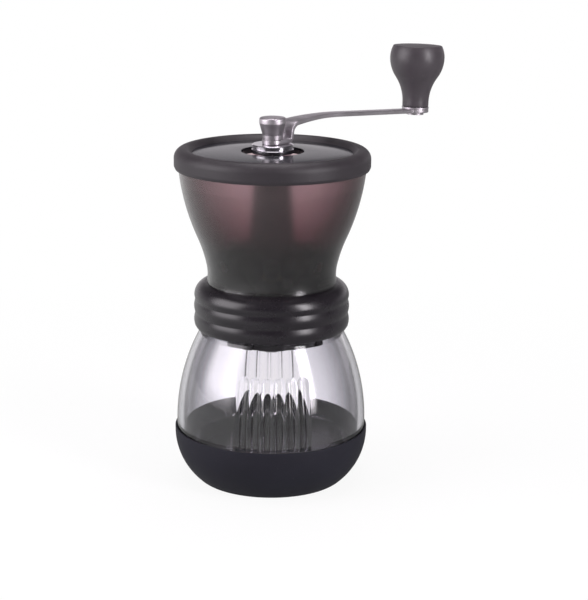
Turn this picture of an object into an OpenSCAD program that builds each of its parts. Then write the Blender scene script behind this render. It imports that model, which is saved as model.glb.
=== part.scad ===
// Hand coffee grinder: a glass jar in a soft base, a screw collar, a bean hopper, a burr set and a crank.
// Millimetres. The origin is the middle of the foot on the table, +Z is up and -Y is the front.

/* [Base] */
// Diameter of the flat foot
foot_d = 70; // [60:1:78]
// Height of the rim above the table
base_rim_z = 26; // [22:0.5:28]
// Height of the upright band below the rim
base_band = 2; // [1:0.5:4]
// Thickness of the base's wall
base_wall = 0.9; // [0.6:0.1:2]
// Thickness of the base's floor
base_floor = 4; // [2:0.5:7]

/* [Jar] */
// Width of the jar's shoulder, from the neck out to the belly
jar_shoulder_w = 13; // [12:0.1:15]
// Height of the jar's lip above the table
jar_lip_z = 88; // [86:0.5:96]
// Height where the side starts to curve in
jar_belly_z = 29; // [28:0.5:32]
// Radius of the curve from the belly to the neck
jar_shoulder_r = 93; // [86:0.5:100]
// Thickness of the glass wall
jar_wall = 3.2; // [2.4:0.1:4]
// Thickness of the glass floor
jar_floor = 7; // [4:0.5:9]

/* [Flutes] */
// Number of flutes in each of the two panels
flute_count = 6; // [3:1:8]
// Angle from one flute to the next
flute_step = 7.8; // [7.4:0.1:9]
// Radius of a flute's round section
flute_r = 4; // [3:0.1:5]
// Depth of a flute
flute_depth = 1.2; // [0.6:0.1:1.4]
// Height of the flutes' round tops
flute_top_z = 61; // [50:0.5:64]
// Turn of the panels away from the front
flute_turn = 2.2; // [-10:0.1:10]

/* [Thread] */
// Rise of the thread in one turn
thread_lead = 5; // [4.4:0.1:6]
// Height of a thread above its wall
thread_height = 1.2; // [0.8:0.1:1.4]
// Width of a thread at its foot
thread_width = 1.8; // [1.4:0.1:2]
// Length of the jar's thread in turns
jar_thread_turns = 1.2; // [1:0.1:1.4]
// Length of the collar's thread in turns
collar_thread_turns = 1; // [0.6:0.1:1.2]

/* [Collar] */
// Outer diameter of the collar
collar_d = 74.2; // [66:0.1:82]
// Thickness of the collar's side
collar_wall = 3.05; // [2.6:0.05:4]
// Depth of the skirt that screws on the neck
collar_skirt = 17; // [15:0.5:17.5]
// Thickness of the collar's top
collar_top = 5; // [4:0.5:7]
// Distance from rib to rib
rib_pitch = 6.5; // [5:0.1:7]
// Depth of the grooves between the ribs
rib_depth = 0.6; // [0.3:0.1:1]

/* [Hopper] */
// Width of the collar's top outside the hopper
collar_shelf = 7.3; // [6.5:0.1:9]
// Height of the part that curves out
hopper_low_h = 22; // [18:0.5:26]
// Height of the part that curves back
hopper_high_h = 36.5; // [32:0.5:42]
// Slope of the side at the collar, from upright
waist_slope = 5; // [2:0.5:8]
// Slope of the side where the curve turns, from upright
middle_slope = 24; // [18:0.5:27]
// Slope of the side at the mouth, from upright
mouth_slope = 4; // [2:0.5:8]
// Thickness of the hopper's wall
hopper_wall = 2.6; // [2:0.1:3.4]
// Width of the step from the burr housing's side in to the throat
throat_step = 5.05; // [4:0.05:6]

/* [Lid] */
// Width of the rim from the hopper's side outwards
lid_rim_w = 1.3; // [1:0.1:3]
// Depth of the rim below the hopper's mouth
lid_skirt = 3.9; // [2.5:0.1:6]
// Height of the rim above the hopper's mouth
lid_crown = 5.7; // [4.5:0.1:7]
// Width of the matt ring round the glossy plate
lid_face_w = 8.29; // [7:0.01:11]
// Thickness of the plate
plate_t = 1.4; // [1:0.1:2]
// Rise of the plate from its edge to its hole
plate_rise = 2.5; // [1:0.1:3]
// Diameter of the hole in the plate
plate_hole_d = 29.6; // [29:0.1:34]

/* [Crank] */
// Direction of the crank at rest, from +X
crank_turn = 48.7; // [0:0.1:360]
// Distance from the shaft to the knob
crank_reach = 109; // [95:0.5:130]
// Thickness of the bar
bar_t = 2; // [1.6:0.1:2.6]
// Width of the foot and leg of the bar
leg_w = 10; // [9:0.1:12]
// Width of the arm
arm_w = 6.5; // [5:0.1:9]
// Distance from the shaft to the leg's outer face
leg_reach = 9.6; // [9.4:0.1:11]
// Height of the arm's highest point above the crank's seat
crank_rise = 10.7; // [10:0.1:13]
// Droop of the arm towards the knob
arm_droop = 4.3; // [0:0.1:8]
// Lean of the pad and the knob away from the shaft
knob_lean = 1.5; // [0:0.1:5]
// Radius of the pad under the knob
pad_r = 6.8; // [6:0.1:8]
// Height of the handle nut above the bar
handle_nut_h = 10.5; // [9:0.1:13]
// Diameter of the handle nut's head
handle_nut_d = 12.7; // [11:0.1:14]
// Diameter of the handle nut's neck
handle_neck_d = 9.6; // [8.4:0.1:10]

/* [Knob] */
// Length of the knob without its dome
knob_h = 31.8; // [28:0.1:36]
// Diameter of the knob's foot
knob_foot_d = 13.4; // [12.6:0.1:15]
// Steepest slope of the knob's side, from upright
knob_slope = 35; // [28:0.5:37]
// Height of the dome above the knob's edge
dome_h = 0.4; // [0.3:0.1:3]

/* [Drive] */
// Diameter of the drive shaft
shaft_d = 7; // [6:0.1:7.6]
// Travel of the shaft for setting the grind
grind_travel = 1.2; // [0.6:0.1:1.5]
// Diameter of the adjusting nut's flange
nut_d = 19.8; // [18:0.1:22]
// Height of the adjusting nut
nut_h = 10.8; // [9:0.1:12]
// Thickness of the lock ring
lock_t = 1.9; // [1.4:0.1:2.4]
// Gap between the burr housing and the jar's neck
housing_gap = 8.75; // [8:0.05:10]
// Height of the outer burr
burr_h = 12; // [11:0.5:13]
// Number of teeth on the inner burr
tooth_count = 14; // [8:1:18]

/* [Fits] */
// Radial clearance of a turning shaft in its bush
run_clear = 0.05; // [0.03:0.01:0.1]
// Radial clearance of pieces that are fixed together
seat_clear = 0.05; // [0.03:0.01:0.1]
// Gap between flat faces that turn on each other
face_gap = 0.1; // [0.05:0.01:0.2]
// Radial clearance between the two threads' crests and walls
thread_clear = 0.35; // [0.3:0.05:0.5]
// Radial clearance of the lid round the hopper
lid_clear = 0.4; // [0.3:0.05:0.6]

/* [Hidden] */
$fn = 96;

arc_steps = 14;
cut = 1;

// Base and jar
collar_r = collar_d / 2;
collar_bore_r = collar_r - collar_wall;
neck_r = collar_bore_r - thread_height - thread_clear;
jar_r = neck_r + jar_shoulder_w;
base_r = jar_r + seat_clear + base_wall;
foot_r = foot_d / 2;
base_turn_z = base_rim_z - base_band;
base_curve_r = ((base_r - foot_r) ^ 2 + base_turn_z ^ 2) / (2 * (base_r - foot_r));
base_centre_r = base_r - base_curve_r;
base_inner_curve_r = base_curve_r - base_wall;
jar_foot_curve_r = base_inner_curve_r - seat_clear;
jar_inner_curve_r = jar_foot_curve_r - jar_wall;
jar_floor_z = base_floor + jar_floor;
shoulder_centre_r = jar_r - jar_shoulder_r;
neck_inner_r = neck_r - jar_wall;
lip_round = 0.8;

// Flutes
flute_tail = 4;
flute_low_z = base_rim_z - flute_tail;
flute_sweep = asin((flute_top_z - flute_r - jar_belly_z) / jar_shoulder_r);
flute_track_r = jar_shoulder_r - flute_depth + flute_r;
flute_drop = asin((jar_belly_z - flute_low_z) / flute_track_r);

// Collar, seal and housing flange, from the jar's lip upwards
seal_t = 1.5;
flange_t = 2.5;
flange_z = jar_lip_z + seal_t;
collar_top_z = flange_z + flange_t;
waist_z = collar_top_z + collar_top;
collar_low_z = collar_top_z - collar_skirt;
collar_foot_w = 1.3;
collar_foot_h = 1.5;
rib_drop = 3.3;
shoulder_flat = 1.2;
collar_shoulder_w = collar_shelf - shoulder_flat;
flange_clear = 0.2;
flange_r = collar_bore_r - flange_clear;
thread_embed = 0.6;
thread_crest = 0.55;
thread_drop = 3.8;
jar_thread_z = jar_lip_z - thread_drop - jar_thread_turns * thread_lead;
collar_thread_z = jar_thread_z - thread_lead / 2;
collar_thread_start = 90;
thread_steps = 40;

// Hopper
waist_r = collar_r - collar_shelf;
housing_r = neck_inner_r - housing_gap;
throat_r = housing_r - throat_step;
waist_step = 2.4;
spigot_r = waist_r - waist_step;
low_curve_r = hopper_low_h / (sin(middle_slope) - sin(waist_slope));
high_curve_r = hopper_high_h / (sin(middle_slope) - sin(mouth_slope));
middle_r = waist_r + low_curve_r * (cos(waist_slope) - cos(middle_slope));
middle_z = waist_z + hopper_low_h;
mouth_z = middle_z + hopper_high_h;
mouth_r = middle_r + high_curve_r * (cos(mouth_slope) - cos(middle_slope));
funnel_rise = 10;
funnel_z = middle_z + funnel_rise;
throat_h = 3;
throat_top_z = collar_top_z + throat_h;
inner_side = [for (p = hopper_side(hopper_wall)) if (p[1] > funnel_z) p];
funnel_slope = (inner_side[0][0] - throat_r) / (inner_side[0][1] - throat_top_z);

// Bridge: three arms low in the funnel, and a column up to the shaft stack
bridge_rise = 16;
bridge_z = throat_top_z + bridge_rise;
bridge_t = 5;
column_low_r = 11.4;
column_high_r = 8.6;
column_skirt = 3;
column_low_z = bridge_z - column_skirt;
column_drop = 7.5;
column_top_z = mouth_z - column_drop;
column_clear = 0.8;
upper_bush_h = 12;
bridge_arm_w = 7;
bridge_count = 3;
bridge_turn = 90;
ledge_w = 8;
ledge_h = 8;
bridge_gap = 1;
bridge_screw_inset = 3;
ledge_overlap = 6;
bridge_reach = throat_r + bridge_rise * funnel_slope - bridge_gap;
bridge_screw_r = bridge_reach - bridge_screw_inset;
ledge_inner_r = bridge_reach - ledge_overlap;

// Shaft stack, from the top of the column
bush_wall = 1.5;
bush_flange_t = 1;
bush_flange_w = 1.6;
shaft_r = shaft_d / 2;
shaft_bore_r = shaft_r + run_clear;
bush_r = shaft_bore_r + bush_wall;
flat_depth = 0.7;
flat_r = shaft_r - flat_depth;
washer_t = 1;
washer_z = column_top_z + bush_flange_t + face_gap;
nut_z = washer_z + washer_t + face_gap;
nut_flange_h = 2.4;
nut_r = nut_d / 2;
nut_flange_w = 1.1;
nut_body_r = nut_r - nut_flange_w;
lock_z = nut_z + nut_h + face_gap;
lock_inset = 0.15;
lock_r = nut_r - lock_inset;
seat_z = lock_z + lock_t + face_gap;
flat_spare = 0.5;
upper_flats_z = washer_z - grind_travel - flat_spare;
stud_r = 2.5;
stud_flat_r = 2;

// Crank
bar_top_z = seat_z + bar_t;
bend_r = 4;
foot_bend_r = 1;
arm_lift = 5;
arm_taper = 20;
arm_crown_r = 200;
arm_crown_z = seat_z + crank_rise;
arm_start = leg_reach + bend_r;
arm_crown_x = arm_start + arm_crown_r * sin(arm_lift);
arm_bend_x = arm_crown_x + arm_crown_r * sin(arm_droop);
arm_bend_z = arm_crown_z - arm_crown_r * (1 - cos(arm_droop));
arm_start_z = arm_crown_z - arm_crown_r * (1 - cos(arm_lift));
pad_lead = 1;
pad_start_x = crank_reach - pad_r - pad_lead;
pad_start_z = arm_bend_z - (pad_start_x - arm_bend_x) * tan(arm_droop);
knob_seat_z = pad_start_z - (crank_reach - pad_start_x) * tan(knob_lean);
arm_end_x = crank_reach + 2 * pad_r;
handle_head_h = 2.7;
handle_cone_h = 5.5;
handle_edge = 1;
handle_nut_roof = 2;
stud_spare = 0.5;
stud_top_z = bar_top_z + handle_nut_h - handle_nut_roof - stud_spare;

// Lid, from the hopper's mouth
lid_inner_r = mouth_r + lid_clear;
lid_r = lid_inner_r + lid_rim_w;
lid_plug_r = mouth_r - hopper_wall - lid_clear;
lid_round = 4.6;
lid_round_end = 110;
lid_foot_w = 0.6;
lid_foot_h = 1.4;
crest_z = mouth_z + lid_crown;
plate_r = lid_r - lid_face_w;
plate_hole_r = plate_hole_d / 2;
plate_lift = 0.3;
plate_seat_z = mouth_z + plate_lift;
plate_edge = 0.5;
plate_ledge_w = 1.8;
plate_ledge_t = 1.2;
plate_ledge_gap = 0.6;

// Knob, in heights above the arm
pin_r = 3;
pin_neck_r = 2.6;
pin_head_r = 5;
pin_head_t = 1.5;
rivet_r = 4.4;
rivet_t = 1.2;
knob_washer_t = 0.8;
knob_low = knob_washer_t + face_gap;
knob_foot_r = knob_foot_d / 2;
knob_straight = 2.2;
knob_foot_edge = 0.5;
knob_edge_h = 6;
knob_mid = knob_h / 2;
knob_low_curve_r = (knob_mid - knob_low - knob_straight) / sin(knob_slope);
knob_high_curve_r = (knob_h - knob_edge_h - knob_mid) / sin(knob_slope);
knob_mid_r = knob_foot_r + knob_low_curve_r * (1 - cos(knob_slope));
knob_max_r = knob_mid_r + knob_high_curve_r * (1 - cos(knob_slope));
knob_edge_curve_r = 13;
knob_edge_r = knob_max_r - knob_edge_curve_r + sqrt(knob_edge_curve_r ^ 2 - knob_edge_h ^ 2);
cap_lip = 0.5;
cap_r = knob_edge_r - cap_lip;
cap_edge_t = 1.5;
cap_seat = knob_h - cap_edge_t;
cap_ledge = 1.3;
cap_spigot_r = cap_r - cap_ledge;
cap_spigot_h = 2.4;
cap_spigot_wall = 1.2;
knob_cavity_h = 7;
knob_cavity = knob_h - knob_cavity_h;
dome_r = (cap_r ^ 2 + dome_h ^ 2) / (2 * dome_h);

// Burrs, from the housing's flange downwards
housing_wall = 2.1;
burr_r = housing_r - housing_wall - seat_clear;
burr_roof = 5.5;
burr_top_z = flange_z - burr_roof;
burr_low_z = burr_top_z - burr_h;
holder_t = 2.5;
holder_z = burr_low_z - holder_t;
holder_clear = 0.6;
burr_mouth_wall = 2.6;
burr_flare_w = 2.8;
burr_flare_h = 4;
burr_mouth_r = burr_r - burr_mouth_wall;
burr_throat_r = burr_mouth_r - burr_flare_w;
burr_edge = 1.5;
boss_r = 2.6;
boss_offset = 0.8;
boss_ring_r = housing_r + boss_offset;
boss_h = 8;
boss_roof = 2;
screw_spare = 1;
holder_turn = 0;
housing_turn = 60;
housing_screw_ring_r = (housing_r + neck_inner_r) / 2;
hub_wall = 1.5;
hub_drop = 2.5;
hub_h = 7;
hub_r = bush_r + hub_wall;
hub_low_z = flange_z - hub_drop;
hub_top_z = hub_low_z + hub_h;
spoke_w = 4;
spoke_t = 4;
spoke_z = collar_top_z - spoke_t;
cone_drop = 2;
cone_low_z = burr_low_z - cone_drop;
cone_edge_h = 1.5;
cone_h = 10;
finest_gap = 0.3;
cone_low_r = burr_mouth_r - finest_gap
    - max(0, grind_travel + cone_edge_h - cone_drop) * burr_flare_w / burr_flare_h;
cone_top_r = 7.5;
cone_bore_r = 6;
carrier_flange_r = 11;
carrier_flange_t = 2.2;
carrier_z = cone_low_z - carrier_flange_t;
carrier_recess = 2;
flat_end = 1;
lower_flats_z = cone_low_z + cone_h - flat_end;
burr_washer_t = 1.2;
burr_washer_r = 6.4;
burr_washer_z = carrier_z - burr_washer_t;
burr_nut_h = 3.4;
burr_nut_r = 6;
burr_nut_z = burr_washer_z - burr_nut_h;
shaft_tail = 1.2;
shaft_low_z = burr_nut_z - shaft_tail;

// Spring between the lower bush and the inner burr
spring_wire_r = 0.4;
spring_low_z = cone_low_z + cone_h + spring_wire_r + face_gap;
spring_high_z = hub_low_z - bush_flange_t - spring_wire_r - face_gap;
spring_turns = 4;
spring_rings = 8;
spring_sides = 6;
spring_clear = 0.9;
spring_r = shaft_bore_r + spring_clear + spring_wire_r;

// Screws
screw_r = 1.5;
screw_head_r = 2.7;
screw_head_h = 1.8;
small_screw_r = 1;
small_head_r = 1.9;
small_head_h = 1.2;
screw_bite = 6;
fixing_count = 3;

// Points of an arc in a section, from angle a0 to angle a1
function arc(centre, radius, a0, a1) = [
    for (i = [0 : arc_steps]) let (a = a0 + (a1 - a0) * i / arc_steps) centre + radius * [cos(a), sin(a)]
];

function reversed(points) = [for (i = [len(points) - 1 : -1 : 0]) points[i]];

// Angle below the level of the centre at which an arc meets a height
function angle_below(radius, drop) = -asin(drop / radius);

// Side of the hopper, moved in by an inset
function hopper_side(inset) = concat(
    [for (i = [0 : arc_steps])
        let (a = waist_slope + (middle_slope - waist_slope) * i / arc_steps)
        [waist_r - inset + low_curve_r * (cos(waist_slope) - cos(a)),
         waist_z + low_curve_r * (sin(a) - sin(waist_slope))]],
    [for (i = [1 : arc_steps])
        let (a = middle_slope + (mouth_slope - middle_slope) * i / arc_steps)
        [middle_r - inset + high_curve_r * (cos(a) - cos(middle_slope)),
         middle_z + high_curve_r * (sin(middle_slope) - sin(a))]]
);

// Tube along a list of rings that climbs round the axis, closed at both ends
module swept(rings) {
    sides = len(rings[0]);
    last = len(rings) - 1;
    points = [for (ring = rings) for (p = ring) p];
    walls = [for (i = [0 : last - 1]) for (j = [0 : sides - 1])
        let (a = i * sides + j, b = i * sides + (j + 1) % sides)
        each [[a, b, a + sides], [b, b + sides, a + sides]]];
    low_end = [for (j = [1 : sides - 2]) [0, j + 1, j]];
    high_end = [for (j = [1 : sides - 2]) [last * sides, last * sides + j, last * sides + j + 1]];
    polyhedron(points = points, faces = concat(walls, low_end, high_end));
}

// Right-handed thread from one wall radius to a crest radius
module thread(wall_r, crest_r, low_z, turns, start = 0) {
    inward = crest_r < wall_r;
    count = ceil(thread_steps * turns);
    section = [
        [wall_r, -thread_width / 2], [crest_r, -thread_crest / 2],
        [crest_r, thread_crest / 2], [wall_r, thread_width / 2]
    ];
    ordered = inward ? reversed(section) : section;
    rings = [for (i = [0 : count])
        let (a = start + 360 * turns * i / count, rise = low_z + thread_lead * a / 360)
        [for (p = ordered) [p[0] * cos(a), p[0] * sin(a), p[1] + rise]]];
    swept(rings);
}

// Hole or shaft section with two flats
module two_flats(radius, flat) {
    intersection() {
        circle(r = radius);
        square([2 * radius + cut, 2 * flat], center = true);
    }
}

module ring(low_z, height, outer_r, inner_r) {
    translate([0, 0, low_z])
        difference() {
            cylinder(r = outer_r, h = height);
            translate([0, 0, -cut])
                cylinder(r = inner_r, h = height + 2 * cut);
        }
}

// Copies round the axis
module around(count, turn) {
    for (i = [0 : count - 1])
        rotate([0, 0, turn + 360 * i / count])
            children();
}

// Screw with its head's seat at the origin and its shank along +Z
module screw(shank_r, head_r, head_h, length) {
    slot = head_r * 0.3;
    difference() {
        union() {
            cylinder(r = shank_r, h = length);
            translate([0, 0, -head_h])
                cylinder(r = head_r, h = head_h);
        }
        for (turn = [0, 90])
            rotate([0, 0, turn])
                translate([0, 0, -head_h])
                    cube([head_r * 1.3, slot, head_h], center = true);
    }
}

module in_crank() {
    rotate([0, 0, crank_turn])
        children();
}

// Frame of the knob: square to the pad, with its origin on the pad
module on_arm() {
    in_crank()
        translate([crank_reach, 0, knob_seat_z])
            rotate([0, knob_lean, 0])
                children();
}

module non_slip_base() {
    outer = arc([base_centre_r, base_turn_z], base_curve_r, angle_below(base_curve_r, base_turn_z), 0);
    inner = arc([base_centre_r, base_turn_z], base_inner_curve_r,
        angle_below(base_inner_curve_r, base_turn_z - base_floor), 0);
    color([0.17, 0.17, 0.2])
        rotate_extrude()
            polygon(concat(
                [[0, 0]], outer, [[base_r, base_rim_z], [base_r - base_wall, base_rim_z]],
                reversed(inner), [[0, base_floor]]
            ));
}

module jar_shell() {
    outer_low = arc([base_centre_r, base_turn_z], jar_foot_curve_r,
        angle_below(jar_foot_curve_r, base_turn_z - base_floor), 0);
    outer_high = arc([shoulder_centre_r, jar_belly_z], jar_shoulder_r, 0,
        acos((neck_r - shoulder_centre_r) / jar_shoulder_r));
    inner_curve = jar_shoulder_r - jar_wall;
    inner_low = arc([base_centre_r, base_turn_z], jar_inner_curve_r,
        angle_below(jar_inner_curve_r, base_turn_z - jar_floor_z), 0);
    inner_high = arc([shoulder_centre_r, jar_belly_z], inner_curve, 0,
        acos((neck_inner_r - shoulder_centre_r) / inner_curve));
    rotate_extrude()
        polygon(concat(
            [[0, base_floor]], outer_low, outer_high,
            [[neck_r, jar_lip_z - lip_round], [neck_r - lip_round, jar_lip_z],
             [neck_inner_r + lip_round, jar_lip_z], [neck_inner_r, jar_lip_z - lip_round]],
            reversed(inner_high), reversed(inner_low), [[0, jar_floor_z]]
        ));
}

// One flute: a round groove that follows the jar's side and ends in a round top
module flute() {
    translate([shoulder_centre_r, 0, jar_belly_z])
        rotate([90, 0, 0]) {
            rotate([0, 0, -flute_drop])
                rotate_extrude(angle = flute_sweep + flute_drop)
                    translate([flute_track_r, 0])
                        circle(r = flute_r);
            rotate([0, 0, flute_sweep])
                translate([flute_track_r, 0, 0])
                    sphere(r = flute_r);
        }
}

module glass_jar() {
    color([0.82, 0.86, 0.86, 0.5]) {
        difference() {
            jar_shell();
            for (panel = [-90, 90])
                for (i = [0 : flute_count - 1])
                    rotate([0, 0, panel + flute_turn + (i - (flute_count - 1) / 2) * flute_step])
                        flute();
        }
        thread(neck_r - thread_embed, neck_r + thread_height, jar_thread_z, jar_thread_turns);
    }
}

module jar_seal() {
    color([0.75, 0.75, 0.73])
        ring(jar_lip_z + face_gap, seal_t - 2 * face_gap, neck_r, neck_inner_r + lip_round);
}

// Side of the collar: rounded ribs between sharp grooves
function collar_ribs() = let (
    groove_z = collar_top_z - rib_drop,
    low = collar_low_z + collar_foot_h,
    high = groove_z + rib_pitch * 0.3,
    steps = 4 * arc_steps
) [for (i = [0 : steps])
    let (z = low + (high - low) * i / steps)
    [collar_r - rib_depth * (1 - abs(sin(180 * (z - groove_z) / rib_pitch))), z]];

module screw_collar() {
    ribs = collar_ribs();
    top_rib = ribs[len(ribs) - 1];
    shoulder_h = waist_z - top_rib[1];
    shoulder = [for (i = [1 : arc_steps])
        let (a = 90 * i / arc_steps)
        [top_rib[0] - collar_shoulder_w * (1 - cos(a)), top_rib[1] + shoulder_h * sin(a)]];
    color([0.13, 0.12, 0.14]) {
        rotate_extrude()
            polygon(concat(
                [[collar_bore_r, collar_low_z], [collar_r - collar_foot_w, collar_low_z]], ribs, shoulder,
                [[spigot_r + seat_clear, waist_z], [spigot_r + seat_clear, collar_top_z],
                 [collar_bore_r, collar_top_z]]
            ));
        thread(collar_bore_r + thread_embed, collar_bore_r - thread_height, collar_thread_z,
            collar_thread_turns, collar_thread_start);
    }
}

// Ledges in the hopper that carry the bridge
module bridge_ledges() {
    intersection() {
        rotate_extrude()
            polygon(concat([[0, waist_z]], hopper_side(hopper_wall / 2), [[0, mouth_z]]));
        around(bridge_count, bridge_turn)
            translate([ledge_inner_r, -ledge_w / 2, bridge_z - ledge_h])
                cube([mouth_r - ledge_inner_r, ledge_w, ledge_h]);
    }
}

module hopper() {
    color([0.2, 0.15, 0.13, 0.8])
        difference() {
            union() {
                rotate_extrude()
                    polygon(concat(
                        [[throat_r, collar_top_z], [spigot_r, collar_top_z], [spigot_r, waist_z]],
                        hopper_side(0), reversed(inner_side), [[throat_r, throat_top_z]]
                    ));
                bridge_ledges();
            }
            around(bridge_count, bridge_turn)
                translate([bridge_screw_r, 0, bridge_z - screw_bite])
                    cylinder(r = screw_r + seat_clear, h = screw_bite + cut);
            around(fixing_count, housing_turn)
                translate([housing_screw_ring_r, 0, collar_top_z - cut])
                    cylinder(r = screw_r + seat_clear, h = screw_bite - flange_t + cut);
        }
}

module burr_housing() {
    color([0.12, 0.12, 0.13])
        difference() {
            union() {
                translate([0, 0, flange_z])
                    cylinder(r = flange_r, h = flange_t);
                translate([0, 0, burr_low_z])
                    cylinder(r = housing_r, h = flange_z - burr_low_z + cut);
                around(fixing_count, holder_turn)
                    translate([boss_ring_r, 0, burr_low_z])
                        cylinder(r = boss_r, h = boss_h);
            }
            translate([0, 0, burr_low_z - cut])
                cylinder(r = burr_r + seat_clear, h = burr_h + cut);
            translate([0, 0, burr_low_z])
                cylinder(r = throat_r, h = flange_z + flange_t - burr_low_z + cut);
            around(fixing_count, housing_turn)
                translate([housing_screw_ring_r, 0, flange_z - cut])
                    cylinder(r = screw_r + seat_clear, h = flange_t + 2 * cut);
            around(fixing_count, holder_turn)
                translate([boss_ring_r, 0, burr_low_z - cut])
                    cylinder(r = small_screw_r + seat_clear, h = boss_h - boss_roof + cut);
        }
    color([0.12, 0.12, 0.13])
        difference() {
            union() {
                translate([0, 0, hub_low_z])
                    cylinder(r = hub_r, h = hub_top_z - hub_low_z);
                around(fixing_count, housing_turn)
                    translate([0, -spoke_w / 2, spoke_z])
                        cube([throat_r + cut, spoke_w, spoke_t]);
            }
            translate([0, 0, hub_low_z - cut])
                cylinder(r = bush_r + seat_clear, h = hub_top_z - hub_low_z + 2 * cut);
        }
}

module housing_screws() {
    color([0.7, 0.7, 0.7])
        around(fixing_count, housing_turn)
            translate([housing_screw_ring_r, 0, flange_z])
                screw(screw_r, screw_head_r, screw_head_h, screw_bite - screw_spare);
}

// Flanged bush with its flange's seat at the origin and its sleeve along +Z
module bush(length) {
    difference() {
        union() {
            cylinder(r = bush_r, h = length);
            translate([0, 0, -bush_flange_t])
                cylinder(r = bush_r + bush_flange_w, h = bush_flange_t);
        }
        translate([0, 0, -bush_flange_t - cut])
            cylinder(r = shaft_bore_r, h = length + bush_flange_t + 2 * cut);
    }
}

module lower_bush() {
    color([0.72, 0.6, 0.36])
        translate([0, 0, hub_low_z])
            bush(hub_top_z - hub_low_z);
}

module upper_bush() {
    color([0.72, 0.6, 0.36])
        translate([0, 0, column_top_z])
            mirror([0, 0, 1])
                bush(upper_bush_h);
}

module outer_burr() {
    groove_r = 1.1;
    color([0.9, 0.89, 0.85])
        difference() {
            rotate_extrude()
                polygon([
                    [burr_mouth_r, burr_low_z], [burr_r, burr_low_z], [burr_r, burr_top_z],
                    [burr_throat_r + burr_edge, burr_top_z], [burr_throat_r, burr_top_z - burr_edge],
                    [burr_throat_r, burr_low_z + burr_flare_h]
                ]);
            around(tooth_count, 0)
                translate([burr_throat_r, 0, burr_low_z + 1.5])
                    rotate([14, 0, 0])
                        cylinder(r = groove_r, h = 2 * burr_h);
        }
}

module burr_holder() {
    color([0.12, 0.12, 0.13])
        difference() {
            union() {
                translate([0, 0, holder_z])
                    cylinder(r = housing_r, h = holder_t);
                around(fixing_count, holder_turn)
                    translate([boss_ring_r, 0, holder_z])
                        cylinder(r = boss_r, h = holder_t);
            }
            translate([0, 0, holder_z - cut])
                cylinder(r = burr_mouth_r + holder_clear, h = holder_t + 2 * cut);
            around(fixing_count, holder_turn)
                translate([boss_ring_r, 0, holder_z - cut])
                    cylinder(r = small_screw_r + seat_clear, h = holder_t + 2 * cut);
        }
}

module holder_screws() {
    color([0.7, 0.7, 0.7])
        around(fixing_count, holder_turn)
            translate([boss_ring_r, 0, holder_z])
                screw(small_screw_r, small_head_r, small_head_h, holder_t + boss_h - boss_roof - screw_spare);
}

module shaft_bridge() {
    color([0.13, 0.13, 0.14])
        difference() {
            union() {
                translate([0, 0, column_low_z])
                    cylinder(r1 = column_low_r, r2 = column_high_r, h = column_top_z - column_low_z);
                around(bridge_count, bridge_turn)
                    translate([0, -bridge_arm_w / 2, bridge_z])
                        cube([bridge_reach, bridge_arm_w, bridge_t]);
            }
            translate([0, 0, column_low_z - cut])
                cylinder(r = shaft_r + column_clear, h = column_top_z - column_low_z + 2 * cut);
            translate([0, 0, column_top_z - upper_bush_h])
                cylinder(r = bush_r + seat_clear, h = upper_bush_h + cut);
            around(bridge_count, bridge_turn)
                translate([bridge_screw_r, 0, bridge_z - cut])
                    cylinder(r = screw_r + seat_clear, h = bridge_t + 2 * cut);
        }
}

module bridge_screws() {
    color([0.7, 0.7, 0.7])
        around(bridge_count, bridge_turn)
            translate([bridge_screw_r, 0, bridge_z + bridge_t])
                mirror([0, 0, 1])
                    screw(screw_r, screw_head_r, screw_head_h, bridge_t + screw_bite - screw_spare);
}

// Washer that the shaft's flats turn
module keyed_washer(low_z, height, outer_r) {
    edge = 0.3;
    translate([0, 0, low_z])
        difference() {
            rotate_extrude()
                polygon([
                    [0, 0], [outer_r - edge, 0], [outer_r, edge], [outer_r, height - edge],
                    [outer_r - edge, height], [0, height]
                ]);
            translate([0, 0, -cut])
                linear_extrude(height + 2 * cut)
                    two_flats(shaft_bore_r, flat_r + run_clear);
        }
}

module thrust_washer() {
    color([0.75, 0.75, 0.76])
        keyed_washer(washer_z, washer_t, bush_r + bush_flange_w);
}

module lock_ring() {
    color([0.8, 0.8, 0.82])
        keyed_washer(lock_z, lock_t, lock_r);
}

module adjusting_nut() {
    edge = 0.4;
    grip_count = 12;
    grip_r = 1.3;
    color([0.82, 0.82, 0.84])
        difference() {
            translate([0, 0, nut_z])
                rotate_extrude()
                    polygon([
                        [shaft_bore_r, 0], [nut_body_r - edge, 0], [nut_body_r, edge],
                        [nut_body_r, nut_h - nut_flange_h], [nut_r - edge, nut_h - nut_flange_h],
                        [nut_r, nut_h - nut_flange_h + edge], [nut_r, nut_h - edge], [nut_r - edge, nut_h],
                        [shaft_bore_r, nut_h]
                    ]);
            around(grip_count, 0)
                translate([nut_body_r + grip_r * 0.6, 0, nut_z - cut])
                    cylinder(r = grip_r, h = nut_h - nut_flange_h - 1 + cut, $fn = 32);
        }
}

module drive_shaft() {
    color([0.7, 0.7, 0.72]) {
        translate([0, 0, shaft_low_z])
            linear_extrude(lower_flats_z - shaft_low_z)
                two_flats(shaft_r, flat_r);
        translate([0, 0, lower_flats_z])
            cylinder(r = shaft_r, h = upper_flats_z - lower_flats_z);
        translate([0, 0, upper_flats_z])
            linear_extrude(seat_z - upper_flats_z)
                two_flats(shaft_r, flat_r);
        translate([0, 0, seat_z])
            linear_extrude(bar_t)
                rotate(crank_turn)
                    two_flats(stud_r, stud_flat_r);
        translate([0, 0, bar_top_z])
            cylinder(r = stud_r, h = stud_top_z - bar_top_z);
    }
}

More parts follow.
